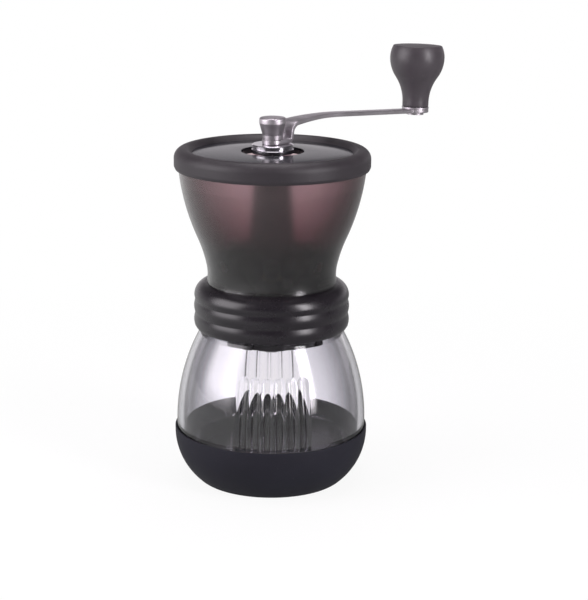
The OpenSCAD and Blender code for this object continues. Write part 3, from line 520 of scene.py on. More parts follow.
def make_wear():
    """Rubbed edges: a mask that is broken up by noise."""
    tree, given, out = new_group("edge wear", {"Width": 0.4 * MM, "Amount": 0.5}, ("Mask",))
    bevel = add_node(tree, "Bevel", {"Radius": given["Width"]}, samples=4)
    normal = add_node(tree, "NewGeometry").outputs["Normal"]
    dot = add_node(tree, "VectorMath", {0: bevel.outputs["Normal"], 1: normal}, operation="DOT_PRODUCT")
    edge = remap(tree, dot.outputs["Value"], 0.995, 0.86)
    broken = remap(tree, noise_node(tree, object_place(tree), 380.0, 4.0, 0.7), 0.42, 0.68)
    mask = math_node(tree, "MULTIPLY", edge, broken)
    feed(tree, out, {"Mask": math_node(tree, "MULTIPLY", mask, given["Amount"], clamp=True)})
    return tree


def make_dust():
    """Thin dust on faces that look up, in soft patches with a few specks."""
    tree, given, out = new_group("dust", {"Amount": 0.1}, ("Mask",))
    place = object_place(tree)
    upward = remap(tree, split_axes(tree, add_node(tree, "NewGeometry").outputs["Normal"])["Z"], 0.1, 0.95)
    film = remap(tree, noise_node(tree, place, 60.0, 5.0, 0.65), 0.35, 0.75)
    specks = remap(tree, noise_node(tree, place, 900.0, 1.0, 0.5), 0.72, 0.8)
    both = math_node(tree, "ADD", math_node(tree, "MULTIPLY", film, upward), specks)
    feed(tree, out, {"Mask": math_node(tree, "MULTIPLY", both, given["Amount"], clamp=True)})
    return tree


def make_brushing():
    """Fine lines of brushed or turned metal, and slow patches of gloss."""
    tree, given, out = new_group("metal lines", {"Scale": 1800.0}, ("Height", "Patches"))
    lines = noise_node(tree, object_place(tree, (1.0, 1.0, 0.06)), given["Scale"], 3.0, 0.7)
    patches = noise_node(tree, object_place(tree), 120.0, 4.0, 0.6)
    feed(tree, out, {"Height": lines, "Patches": remap(tree, patches, 0.3, 0.7)})
    return tree


SHARED = {"moulded grain": make_grain, "edge wear": make_wear, "dust": make_dust, "metal lines": make_brushing}


# Finishes

DUST = (0.42, 0.41, 0.40, 1.0)
# Random patches of the smoke's colour, and the painted shade of its edges
SMOKE_DULL, SMOKE_CLEAR, SMOKE_PAINTED_EDGE_SHADE = (0.93, 0.90, 0.90, 1.0), (0.99, 0.97, 0.97, 1.0), (0.24, 0.20, 0.21, 1.0)

# Painted shade of the glass: how far it is seen edge-on, and how much light it then lets through, painted darker
# towards the edges in place of the darker surroundings seen through it, with a dark ring, a lighter band and a dark rim
# for the outlines of the thick wall
GLASS_PAINTED_SHADE = ((0.0, 1.0), (0.06, 0.98), (0.14, 0.91), (0.22, 0.8), (0.42, 0.44), (0.56, 0.24),
                (0.62, 0.14), (0.69, 0.42), (0.8, 0.32), (0.88, 0.07), (0.95, 0.03))


def use_group(tree, name, values):
    """The shared group's outputs in a material, with its own values."""
    shared = bpy.data.node_groups.get(name) or SHARED[name]()
    return add_node(tree, "Group", values, node_tree=shared).outputs


def new_material(name):
    """Material with its nodes and the inputs of its shader."""
    material = bpy.data.materials.new(name)
    material.use_nodes = True
    return material, material.node_tree, material.node_tree.nodes["Principled BSDF"].inputs


def scaled(rgb, factor):
    return (*(min(1.0, channel * factor) for channel in rgb), 1.0)


def moulded(name, rgb, rough, grain=1500.0, depth=0.02, shine=0.5, wear=0.3, dust=0.06):
    """Opaque moulded plastic or rubber, with grain, rubbed edges and a little dust."""
    material, tree, shader = new_material(name)
    grains = use_group(tree, "moulded grain", {"Scale": grain})
    worn = use_group(tree, "edge wear", {"Amount": wear})["Mask"]
    dusty = use_group(tree, "dust", {"Amount": dust})["Mask"]
    body = blend_colours(tree, grains["Patches"], scaled(rgb, 0.9), scaled(rgb, 1.1))
    rubbed = blend_colours(tree, worn, body, scaled(rgb, 2.2))
    gloss = remap(tree, grains["Patches"], 0.0, 1.0, rough - 0.04, rough + 0.05)
    feed(tree, shader, {
        "Base Color": blend_colours(tree, dusty, rubbed, DUST),
        "Roughness": math_node(tree, "MULTIPLY_ADD", dusty, 0.5, gloss, clamp=True),
        "Specular IOR Level": shine,
        "Normal": bumps(tree, grains["Height"], depth),
    })
    return material


def metal(name, rgb, rough, depth=0.004, wear=0.4):
    """Bare metal with fine lines and brighter edges, made once for each name."""
    if name in bpy.data.materials:
        return bpy.data.materials[name]
    material, tree, shader = new_material(name)
    lines = use_group(tree, "metal lines", {})
    worn = use_group(tree, "edge wear", {"Amount": wear, "Width": 0.3 * MM})["Mask"]
    body = blend_colours(tree, lines["Patches"], scaled(rgb, 0.94), scaled(rgb, 1.05))
    feed(tree, shader, {
        "Base Color": blend_colours(tree, worn, body, scaled(rgb, 1.3)),
        "Roughness": remap(tree, lines["Patches"], 0.0, 1.0, rough * 0.85, rough * 1.2),
        "Metallic": 1.0,
        "Normal": bumps(tree, lines["Height"], depth),
    })
    return material


def clear_glass(name):
    """Thick clear glass, with painted shade where it is seen edge-on."""
    material, tree, shader = new_material(name)
    # Painted shade: the glass's colour is darkened where it is seen edge-on
    ramp = add_node(tree, "ValToRGB", {"Fac": edge_on(tree)})
    steps = ramp.color_ramp.elements
    for place, shade in GLASS_PAINTED_SHADE:
        step = steps[0] if place == 0.0 else steps.new(place)
        step.color = (shade, shade * 0.98, min(1.0, shade * 1.04), 1.0)
    steps.remove(steps[-1])
    waves = noise_node(tree, object_place(tree, (1.0, 1.0, 0.35)), 70.0, 2.0, 0.5)
    feed(tree, shader, {
        "Base Color": ramp.outputs["Color"],
        "Roughness": 0.0,
        "IOR": 1.5,
        "Specular IOR Level": 0.2,
        "Transmission Weight": 1.0,
        "Normal": bumps(tree, waves, 0.02),
    })
    return material


def smoked_plastic(name, rgb, density):
    """See-through brown plastic that darkens with its thickness, with painted shade where it is seen edge-on."""
    material, tree, shader = new_material(name)
    grains = use_group(tree, "moulded grain", {"Scale": 700.0, "Patch scale": 30.0})
    body = blend_colours(tree, grains["Patches"], SMOKE_DULL, SMOKE_CLEAR)
    feed(tree, shader, {
        # Painted shade: the colour is darkened where the hopper is seen edge-on
        "Base Color": blend_colours(tree, remap(tree, edge_on(tree), 0.1, 0.6), body, SMOKE_PAINTED_EDGE_SHADE),
        "Roughness": remap(tree, grains["Patches"], 0.0, 1.0, 0.2, 0.25),
        "Coat Weight": 0.5,
        "Coat Roughness": 0.16,
        "IOR": 1.42,
        "Transmission Weight": 0.985,
    })
    absorb = add_node(tree, "VolumeAbsorption", {"Color": (*rgb, 1.0), "Density": density})
    feed(tree, tree.nodes["Material Output"].inputs, {"Volume": absorb.outputs[0]})
    return material


# Pieces

def side_angle(radius, drop):
    """Angle on a round side that lies a drop under its centre."""
    return -asin(drop / radius)


def make_base(sizes, finishes):
    foot_rise, tread_depth, tread_r, tread_floor_r = 0.6 * MM, 0.5 * MM, 1.4 * MM, 1.0 * MM
    centre = (sizes.outer_r - sizes.curve_r, sizes.turn_z)
    inner_r = sizes.curve_r - sizes.wall
    outer = arc(centre, sizes.curve_r, side_angle(sizes.curve_r, sizes.turn_z - foot_rise), 0, 40)
    inner = arc(centre, inner_r, 0, side_angle(inner_r, sizes.turn_z - sizes.floor), 40)
    foot_r = outer[0][0]
    profile = [(0.0, 0.0)]
    for share in (0.30, 0.45, 0.60, 0.75):
        middle = foot_r * share
        profile += [(middle - tread_r, 0.0), (middle - tread_floor_r, tread_depth, 0.2),
                    (middle + tread_floor_r, tread_depth, 0.2), (middle + tread_r, 0.0)]
    profile += [(foot_r - 0.9 * MM, 0.0, 0.5)] + outer
    profile += [(sizes.outer_r, sizes.rim_z, 0.4), (sizes.outer_r - sizes.wall, sizes.rim_z, 0.3)]
    profile += inner + [(0.0, sizes.floor)]
    cup = turned("base_cup", soften(profile))
    rubber = moulded("matt rubber", finishes.rubber, 0.62, grain=1900.0, depth=0.03, shine=0.2, wear=0.15, dust=0.03)
    fit(cup, "jar", "base_rubber", rubber, "non_slip_base")


class FluteSizes:
    """Sizes of the flutes worked out from the jar's."""

    def __init__(self, jar):
        self.count, self.step, self.turn = jar.flute_count, jar.flute_step, jar.flute_turn
        self.radius, self.depth, self.soft = jar.flute_r, jar.flute_depth, 0.22 * MM
        self.centre_r, self.centre_z = jar.outer_r - jar.shoulder_r, jar.belly_z
        self.track_r = jar.shoulder_r - jar.flute_depth + jar.flute_r
        self.sweep = asin((jar.flute_end_z - jar.belly_z) / jar.shoulder_r)
        self.low_z, self.high_z = 20 * MM, jar.flute_end_z + jar.flute_r


def flute_bite(sizes, angle, r, z):
    """How deep the flutes cut into the jar's side at an angle and a height."""
    if not sizes.low_z < z < sizes.high_z:
        return 0.0
    for panel in FLUTED_SIDES:
        offset = wrapped(angle - panel - sizes.turn)
        index = round(offset / sizes.step + (sizes.count - 1) / 2)
        index = min(max(index, 0), sizes.count - 1)
        aside = offset - (index - (sizes.count - 1) / 2) * sizes.step
        if abs(aside) < sizes.step:
            return one_flute(sizes, aside, r, z)
    return 0.0


def one_flute(sizes, aside, r, z):
    """Depth of one flute, found by halving, with its edge softened."""
    def within(distance):
        x, y = distance * cos(aside) - sizes.centre_r, distance * sin(aside)
        up = z - sizes.centre_z
        if atan2(up, x) < sizes.sweep:
            return sizes.radius - hypot(hypot(x, up) - sizes.track_r, y)
        end = (sizes.track_r * cos(sizes.sweep), sizes.track_r * sin(sizes.sweep))
        return sizes.radius - hypot(x - end[0], y, up - end[1])

    edge = within(r)
    if edge <= 0:
        return 0.0
    halvings, low, high = 18, r - 2 * sizes.depth, r
    for _ in range(halvings):
        middle = (low + high) / 2
        low, high = (low, middle) if within(middle) > 0 else (middle, high)
    share = min(1.0, edge / sizes.soft)
    return (r - high) * share * share * (3 - 2 * share)


def thread_rise(angle, z, start_z, start_angle, turns):
    """Height of a screw thread over its wall at an angle and a height."""
    lead, rise, foot, crest, fade = 5 * MM, 1.2 * MM, 0.9 * MM, 0.28 * MM, 0.06
    turn = ((angle - start_angle) / tau) % 1.0
    best = 0.0
    while turn <= turns:
        away = abs(z - start_z - lead * turn)
        ends = min(1.0, turn / fade, (turns - turn) / fade)
        best = max(best, rise * ends * min(1.0, max(0.0, (foot - away) / (foot - crest))))
        turn += 1.0
    return best


def jar_angles(flutes):
    """Angles round the jar, close together over the flutes."""
    fine, coarse, margin = radians(0.6), radians(2.4), 0.4
    half = flutes.step * (flutes.count / 2 + margin)
    angles, angle = [], 0.0
    while angle < tau - fine / 2:
        angles.append(angle)
        near = any(abs(wrapped(angle - panel - flutes.turn)) < half for panel in FLUTED_SIDES)
        angle += fine if near else coarse
    return angles


def make_jar(sizes, base):
    flutes = FluteSizes(sizes)
    foot = (base.outer_r - base.curve_r, base.turn_z)

    def side(z, inset=0.0):
        return flutes.centre_r + sqrt((sizes.shoulder_r - inset) ** 2 - (z - sizes.belly_z) ** 2)

    neck_z = sizes.belly_z + sqrt(sizes.shoulder_r ** 2 - (sizes.neck_r - flutes.centre_r) ** 2)
    inner_neck_r = sizes.neck_r - sizes.wall
    inner_foot_r = sizes.foot_curve_r - sizes.wall
    ends_low, ends_high, lip_h = 52 * MM, 62 * MM, 1.2 * MM
    heights = spread(sizes.belly_z, ends_low, 2)[:-1] + spread(ends_low, ends_high, 0.4)
    heights += spread(ends_high, neck_z, 1.6)[1:]
    outer = arc(foot, sizes.foot_curve_r, side_angle(sizes.foot_curve_r, base.turn_z - base.floor), 0, 26)
    outer += [(side(z), z) for z in heights]
    outer += [(sizes.neck_r, z) for z in spread(neck_z, sizes.lip_z - lip_h, 0.3)[1:]]
    lip = [(sizes.neck_r, sizes.lip_z, 0.9), (inner_neck_r, sizes.lip_z, 0.9)]
    inner = [(inner_neck_r, sizes.neck_low_z, 1.2), (side(sizes.flare_z, sizes.wall), sizes.flare_z, 1.6)]
    inner += [(side(z, sizes.wall), z) for z in reversed(spread(sizes.belly_z, sizes.flare_z - 2 * MM, 1.6))]
    inner += arc(foot, inner_foot_r, 0, side_angle(inner_foot_r, base.turn_z - sizes.floor_z - sizes.bowl), 16)
    bowl_r = inner[-1][0]
    inner += [(bowl_r * share, sizes.floor_z + sizes.bowl * share ** 2.2) for share in even(1, 0, 24)[1:-1]]
    profile = soften([(0.0, base.floor)] + outer + lip + inner + [(0.0, sizes.floor_z)], 8)

    def mould(row, angle, r, z):
        if row > len(outer):
            return r
        return r - flute_bite(flutes, angle, r, z) + thread_rise(angle, z, sizes.thread_z, 0.0, sizes.thread_turns)

    glass = turned("jar_glass", profile, jar_angles(flutes), mould)
    glass.data.set_sharp_from_angle(angle=GLASS_SHARP_ANGLE)
    fit(glass, "jar", "jar_glass", clear_glass("pressed glass"), "glass_jar")


def make_collar(sizes, finishes):
    groove_z, groove_round = sizes.plate_z - 3.3 * MM, 0.006
    rib_low, rib_high = sizes.low_z + 1.5 * MM, groove_z + 0.3 * sizes.rib_pitch
    ribs = []
    for z in spread(rib_low, rib_high, 0.25):
        wave = sin(pi * (z - groove_z) / sizes.rib_pitch)
        ribs.append((sizes.outer_r - sizes.rib_depth * (1 - sqrt(wave * wave + groove_round)), z))
    top_r, top_z = ribs[-1]
    shoulder = [(top_r - sizes.shoulder_w * (1 - cos(a)), top_z + (sizes.top_z - top_z) * sin(a))
                for a in even(0, pi / 2, 16)[1:]]
    bore = [(sizes.bore_r, z) for z in reversed(spread(sizes.low_z + 0.5 * MM, sizes.plate_z - 0.5 * MM, 0.35))]
    profile = [(sizes.bore_r, sizes.low_z, 0.3), (sizes.outer_r - 1.3 * MM, sizes.low_z, 0.7)] + ribs + shoulder
    profile += [(sizes.spigot_r, sizes.top_z, 0.3), (sizes.spigot_r, sizes.plate_z, 0.3),
                (sizes.bore_r, sizes.plate_z, 0.4)] + bore
    shape = soften(profile)
    first = len(shape) - len(bore)

    def mould(row, angle, r, z):
        if row < first:
            return r
        return r - thread_rise(angle, z, sizes.thread_z, pi / 2, 1.0)

    collar = turned("collar_ring", shape, mould=mould)
    plastic = moulded("collar plastic", finishes.collar, 0.26, grain=1300.0, depth=0.012, wear=0.25, dust=0.03)
    fit(collar, "head", "collar_plastic", plastic, "screw_collar")


def hopper_side(sizes, inset):
    """Side of the hopper from the waist to the mouth, moved in by an inset."""
    rise = sin(sizes.middle_slope)
    low_r = (sizes.middle_z - sizes.waist_z) / (rise - sin(sizes.waist_slope))
    high_r = (sizes.mouth_z - sizes.middle_z) / (rise - sin(sizes.mouth_slope))
    middle_r = sizes.waist_r + low_r * (cos(sizes.waist_slope) - cos(sizes.middle_slope))
    lower = [(sizes.waist_r - inset + low_r * (cos(sizes.waist_slope) - cos(a)),
              sizes.waist_z + low_r * (sin(a) - sin(sizes.waist_slope)))
             for a in even(sizes.waist_slope, sizes.middle_slope, 30)]
    upper = [(middle_r - inset + high_r * (cos(a) - cos(sizes.middle_slope)), sizes.middle_z + high_r * (rise - sin(a)))
             for a in even(sizes.middle_slope, sizes.mouth_slope, 40)[1:]]
    return lower + upper


def funnel_bend(wall, sizes):
    """Curve from the funnel's cone up to the wall, whose points are given from the cone's upper edge upwards."""
    corner = Vector(wall[0])
    high = Vector(next(p for p in wall if p[1] > corner.y + sizes.funnel_bend))
    low = corner.lerp(Vector((sizes.throat_r, sizes.throat_z)), sizes.funnel_bend / (corner.y - sizes.throat_z))
    return [tuple(low.lerp(corner, t).lerp(corner.lerp(high, t), t)) for t in even(0, 1, 20)[:-1]]


def make_hopper(sizes, finishes):
    outer = []
    for r, z in hopper_side(sizes, 0):
        near = max(0.0, 1 - (z - sizes.waist_z) / sizes.seat_flare_h)
        outer.append((r + sizes.seat_flare * near * near, z))
    inner = [p for p in hopper_side(sizes, sizes.wall) if p[1] > sizes.funnel_z]
    inner = funnel_bend(inner, sizes) + [p for p in inner if p[1] > sizes.funnel_z + sizes.funnel_bend]
    profile = [(sizes.throat_r, sizes.spigot_z, 0.4), (sizes.spigot_r, sizes.spigot_z, 0.4),
               (sizes.spigot_r, sizes.waist_z)] + outer[:-1]
    profile += [(*outer[-1], 0.7), (*inner[-1], 0.7)] + inner[-2::-1] + [(sizes.throat_r, sizes.throat_z, 2)]
    hopper = turned("hopper_shell", soften(profile))
    cone = (inner[0][0] - sizes.throat_r) / (inner[0][1] - sizes.throat_z)
    reach = sizes.throat_r + cone * (sizes.ledge_z - sizes.throat_z) - 1 * MM
    ledge_in, ledge_out, ledge_w, ledge_h = reach - 6 * MM, reach + 3 * MM, 8 * MM, 8 * MM
    place = Matrix.Translation(((ledge_in + ledge_out) / 2, 0, sizes.ledge_z - ledge_h / 2))
    ledges = [(Matrix.Rotation(pi / 2 + tau * i / 3, 4, "Z") @ place, (ledge_out - ledge_in, ledge_w, ledge_h))
              for i in range(3)]
    carve(hopper, blocks(ledges), "UNION")
    plastic = smoked_plastic("smoked plastic", finishes.smoke, finishes.smoke_density)
    fit(hopper, "head", "hopper_plastic", plastic, "hopper")


def make_lid(sizes, finishes):
    crest = arc((sizes.outer_r - sizes.crest_round, sizes.crest_z - sizes.crest_round), sizes.crest_round,
                0, radians(110), 28)
    pocket_r = sizes.plate_r + FIT_GAP
    ledge_r, ledge_z = sizes.plate_r - 1.8 * MM, sizes.plate_z - 1.2 * MM
    mouth_z = sizes.plate_z - 0.3 * MM
    edge_z = sizes.plate_z + sizes.plate_t
    profile = [(sizes.inner_r, sizes.low_z, 0.3), (sizes.outer_r - 0.6 * MM, sizes.low_z, 0.3),
               (sizes.outer_r, sizes.low_z + 1.4 * MM, 1)] + crest
    profile += [(pocket_r, edge_z, 0.25), (pocket_r, sizes.plate_z), (ledge_r, sizes.plate_z, 0.2),
                (ledge_r, ledge_z, 0.2), (sizes.plug_r, ledge_z, 0.3), (sizes.plug_r, mouth_z, 0.2),
                (sizes.inner_r, mouth_z)]
    rim = turned("lid_ring", soften(profile))
    matt = moulded("matt lid plastic", finishes.rim, 0.5, grain=1700.0, depth=0.03, shine=0.45, wear=0.25)
    fit(rim, "lid", "lid_rim_plastic", matt, "lid_rim")

    def dome(r):
        return sizes.plate_rise * (1 - ((r - sizes.hole_r) / (sizes.plate_r - sizes.hole_r)) ** 2)

    flat_r = sizes.plate_r - 2.4 * MM
    top = [(r, edge_z + dome(r)) for r in reversed(spread(sizes.hole_r + 0.5 * MM, sizes.plate_r - 0.3 * MM, 0.6))]
    under = [(r, sizes.plate_z + dome(r)) for r in spread(sizes.hole_r + 0.2 * MM, flat_r, 0.8)]
    top_z = edge_z + sizes.plate_rise
    outline = [(sizes.plate_r, edge_z, 0.25)] + top
    outline += [(sizes.hole_r, top_z, 0.45), (sizes.hole_r, top_z - sizes.plate_t, 0.2)] + under
    outline += [(flat_r, sizes.plate_z), (sizes.plate_r, sizes.plate_z, 0.2)]
    plate = turned("lid_disc", soften(outline))
    gloss = moulded("gloss lid plastic", finishes.plate, 0.12, grain=400.0, depth=0.002, shine=0.12, wear=0.2,
                    dust=0.03)
    fit(plate, "lid", "lid_plate_plastic", gloss, "lid_plate")


def bar_path(sizes):
    """Middle line of the bent bar, from behind the shaft out to the pad, as distance out and height."""
    half = sizes.bar_t / 2
    foot_r, bend_r = sizes.foot_bend_r + half, sizes.bend_r + half
    mid_z = sizes.seat_z + half
    foot_x = sizes.leg_reach - half - foot_r
    start_x = sizes.leg_reach + sizes.bend_r
    crown_x, crown_z = start_x + sizes.crown_r * sin(sizes.lift), sizes.crown_z - half
    start_z = crown_z - sizes.crown_r * (1 - cos(sizes.lift))
    path = [(-sizes.leg_w / 2 * cos(a), mid_z) for a in even(0, pi / 2, 10)]
    path += [(x, mid_z) for x in spread(0, foot_x, 1.2)[1:]]
    path += [(foot_x + foot_r * sin(a), mid_z + foot_r * (1 - cos(a))) for a in even(0, pi / 2, 10)[1:]]
    path += [(start_x - bend_r * sin(a), start_z - bend_r * (1 - cos(a))) for a in even(pi / 2, 0, 12)]
    path += [(crown_x - sizes.crown_r * sin(a), crown_z - sizes.crown_r * (1 - cos(a)))
             for a in even(sizes.lift, -sizes.droop, 14)[1:]]
    bend_x, bend_z = path[-1]
    pad_x = sizes.reach - sizes.pad_r - sizes.pad_lead
    path += [(x, bend_z - (x - bend_x) * tan(sizes.droop)) for x in spread(bend_x, pad_x, 4)[1:]]
    pad_z = path[-1][1]
    ends = [sizes.reach - sizes.pad_r * cos(a) for a in even(0, pi, 24)[:-1]]
    # The last ring stays just inside the pad's round end, so that it doesn't close to a point
    ends.append(sizes.reach + sizes.pad_r * 0.999)
    return path + [(x, pad_z - (x - pad_x) * tan(sizes.lean)) for x in ends]


def bar_half_width(sizes, x):
    """Half the bar's width at a distance out, with round ends that never quite close."""
    least, taper = 0.3 * MM, 20 * MM
    if x < 0:
        return max(least, sqrt(max(0.0, (sizes.leg_w / 2) ** 2 - x * x)))
    share = min(1.0, max(0.0, (x - sizes.leg_reach - sizes.bend_r) / taper))
    width = (sizes.leg_w + (sizes.arm_w - sizes.leg_w) * share) / 2
    pad = sqrt(max(0.0, sizes.pad_r ** 2 - (x - sizes.reach) ** 2))
    return max(width, pad) if x < sizes.reach else max(least, pad)


def bar_section(half_w, half_t, edge):
    """Rounded oblong section of the bar, as aside and up."""
    points = []
    for quarter, (side, up) in enumerate(((1, 1), (-1, 1), (-1, -1), (1, -1))):
        centre = (side * (half_w - edge), up * (half_t - edge))
        points += arc(centre, edge, pi / 2 * quarter, pi / 2 * (quarter + 1), 4)
    return points


def make_crank(sizes, knob, finishes):
    points = []
    path = bar_path(sizes)
    for i, (x, z) in enumerate(path):
        ahead, behind = path[min(i + 1, len(path) - 1)], path[max(i - 1, 0)]
        way = Vector((ahead[0] - behind[0], 0, ahead[1] - behind[1])).normalized()
        up = Vector((-way.z, 0, way.x))
        half_w = bar_half_width(sizes, x)
        for aside, over in bar_section(half_w, sizes.bar_t / 2, min(0.35 * MM, half_w * 0.6)):
            points.append(Vector((x, aside, z)) + up * over)
    turn = Matrix.Rotation(sizes.turn, 4, "Z")
    arm = piece("crank_bar", [turn @ p for p in points], tube_faces(len(path), len(points) // len(path)))
    bore_r, pin_r, pin_half_h = sizes.stud_r + FIT_GAP, 2.65 * MM, 5 * MM
    carve(arm, peg(bore_r, sizes.seat_z - 1 * MM, sizes.seat_z + 3 * MM), "DIFFERENCE")
    pin_hole = peg(pin_r, -pin_half_h, pin_half_h)
    tilt = Matrix.Translation((sizes.reach, 0, knob.seat_z)) @ Matrix.Rotation(sizes.lean, 4, "Y")
    pin_hole.data.transform(turn @ tilt)
    carve(arm, pin_hole, "DIFFERENCE")
    satin = metal("satin steel", finishes.satin, 0.42, depth=0.006)
    fit(arm, "drive", "crank_steel", satin, "crank_arm")

    top = sizes.nut_h
    head_z, bore_z = top - 2.7 * MM, top - 2 * MM
    profile = [(bore_r, 0.0, 0.2), (sizes.nut_neck_r, 0.0, 0.3), (sizes.nut_neck_r, head_z - 5.5 * MM, 2),
               (sizes.nut_r, head_z, 0.8), (sizes.nut_r, top - 0.1 * MM, 1), (sizes.nut_r * 0.5, top), (0.0, top),
               (0.0, bore_z), (bore_r, bore_z)]
    bar_top = sizes.seat_z + sizes.bar_t
    nut = turned("handle_nut_body", [(r, z + bar_top) for r, z in soften(profile)])
    fit(nut, "drive", "crank_steel", satin, "handle_nut")


def make_knob(sizes, crank, finishes):
    middle, straight_z, edge_z = sizes.height / 2, sizes.low + sizes.straight, sizes.height - sizes.edge_h
    low_curve = (middle - sizes.low - sizes.straight) / sin(sizes.flare)
    high_curve = (edge_z - middle) / sin(sizes.flare)
    max_r = sizes.foot_r + (low_curve + high_curve) * (1 - cos(sizes.flare))
    lower = [(sizes.foot_r + low_curve * (1 - cos(a)), straight_z + low_curve * sin(a))
             for a in even(0, sizes.flare, 24)]
    upper = [(max_r - high_curve * (1 - cos(a)), edge_z - high_curve * sin(a)) for a in even(sizes.flare, 0, 24)[1:]]
    edge = arc((max_r - sizes.edge_curve_r, edge_z), sizes.edge_curve_r, 0,
               asin(sizes.edge_h / sizes.edge_curve_r), 16)
    pocket_r, seat = sizes.cap_r + FIT_GAP, sizes.height - sizes.cap_t
    spigot_r, cavity = sizes.cap_r - 1.25 * MM, sizes.height - 7 * MM
    profile = [(sizes.bore_r, sizes.low, 0.3), (sizes.foot_r, sizes.low, 0.6)] + lower + upper + edge[1:-1]
    profile += [(*edge[-1], 0.3), (pocket_r, sizes.height, 0.2), (pocket_r, seat), (spigot_r, seat),
                (spigot_r, cavity), (sizes.bore_r, cavity)]
    place = Matrix.Rotation(crank.turn, 4, "Z") @ Matrix.Translation((crank.reach, 0, sizes.seat_z))
    place = place @ Matrix.Rotation(crank.lean, 4, "Y")
    grip = turned("knob_body", soften(profile))
    grip.data.transform(place)
    plastic = moulded("knob plastic", finishes.knob, 0.42, wear=0.25, dust=0.04)
    fit(grip, "knob", "knob_plastic", plastic, "knob_grip")

    disc_r = sizes.cap_r - sizes.cap_gap
    dome_r = (disc_r ** 2 + sizes.dome ** 2) / (2 * sizes.dome)
    dome = arc((0, sizes.height + sizes.dome - dome_r), dome_r, asin((dome_r - sizes.dome) / dome_r), pi / 2, 30)
    wall_r, tail = sizes.cap_r - 1.3 * MM, seat - 2.4 * MM
    wall_in_r = wall_r - 1.2 * MM
    outline = [(0.0, seat), (wall_in_r, seat), (wall_in_r, tail), (wall_r, tail), (wall_r, seat), (disc_r, seat),
               (*dome[0], 0.3)] + dome[1:-1] + [(0.0, sizes.height + sizes.dome)]
    cap = turned("knob_top", soften(outline))
    cap.data.transform(place)
    fit(cap, "knob", "knob_plastic", plastic, "knob_cap")


def make_spring(sizes, finishes):
    """Coil of round wire that fills the CAD spring's height and width."""
    low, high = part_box("burr_spring")
    coil_r = (high[0] - low[0]) / 2 - sizes.wire_r
    turn_steps, sides = 32, 10
    steps = round(turn_steps * sizes.turns)
    angles = even(0, tau * sizes.turns, steps)
    heights = even(low[2] + sizes.wire_r, high[2] - sizes.wire_r, steps)
    points = []
    for angle, z in zip(angles, heights):
        turn = Matrix.Rotation(angle, 4, "Z")
        points += [turn @ Vector((out, 0.0, up)) for out, up in arc((coil_r, z), sizes.wire_r, 0, tau, sides)[:-1]]
    coil = piece("spring_coil", points, tube_faces(steps + 1, sides))
    coil.data.materials.append(metal("spring steel", finishes.steel, 0.3))
    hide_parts("burr_spring")
    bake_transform(coil)


def dress_works(finishes):
    """Finishes of the nodes whose CAD shape stays."""
    housing = moulded("housing plastic", finishes.housing, 0.45, grain=1400.0, depth=0.015, wear=0.2)
    steel = metal("plain steel", finishes.steel, 0.34)
    satin = metal("satin steel", finishes.satin, 0.42, depth=0.006)
    chrome = metal("chrome", finishes.chrome, 0.18, depth=0.001, wear=0.1)
    dark = metal("blackened steel", finishes.dark_steel, 0.4)
    brass = metal("brass", finishes.brass, 0.3)
    ceramic = moulded("white ceramic", finishes.ceramic, 0.4, grain=2200.0, depth=0.01, wear=0.1, dust=0.0)
    silicone = moulded("silicone", finishes.seal, 0.5, grain=1200.0, depth=0.01, wear=0.0)
    dressing = {
        housing: ("burr_housing", "burr_holder", "shaft_bridge", "burr_carrier"),
        steel: ("housing_screws", "bridge_screws", "thrust_washer", "drive_shaft"),
        dark: ("holder_screws", "burr_washer", "burr_nut"),
        satin: ("knob_pin", "knob_washer"),
        chrome: ("lock_ring", "adjusting_nut"),
        brass: ("lower_bush", "upper_bush"),
        ceramic: ("outer_burr", "inner_burr"),
        silicone: ("jar_seal",),
    }
    for material, names in dressing.items():
        for name in names:
            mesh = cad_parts[name].data
            mesh.materials.clear()
            mesh.materials.append(material)


# Stage

FLOOR_R, FLOOR_SIDES = 6.0, 96
FLOOR_PAINT = (0.82, 0.82, 0.82, 1.0)
# Where gloss sees the floor's painted light fade from left to right, and how far out the floor turns pure white
PAINTED_FLOOR_FADE, FLOOR_CLEARS = (-0.3, 0.05), (0.12, 0.4)
WHITE = (1.0, 1.0, 1.0, 1.0)
# Where gloss sees the bright back begin and at its full, along Y and along Z, and where glass sees the top go dim
WORLD_BACK, WORLD_LOW, WORLD_HIGH = (0.1, 0.9), (0.36, 0.1), (0.1, 0.4)
LAMP_TARGET = (0.0, 0.0, 0.1)
# Share of a lamp's width that fades at each edge, and the gain that makes up for it
LAMP_FADE, LAMP_GAIN = 0.3, 1.9
# Lamps with their sizes and places
LAMPS = (("left", (1.2, 1.1), (-0.86, -0.30, 0.45)),
         ("right", (0.34, 1.0), (0.70, -0.57, 0.40)),
         ("top", (0.9, 0.9), (0.0, 0.15, 1.1)))


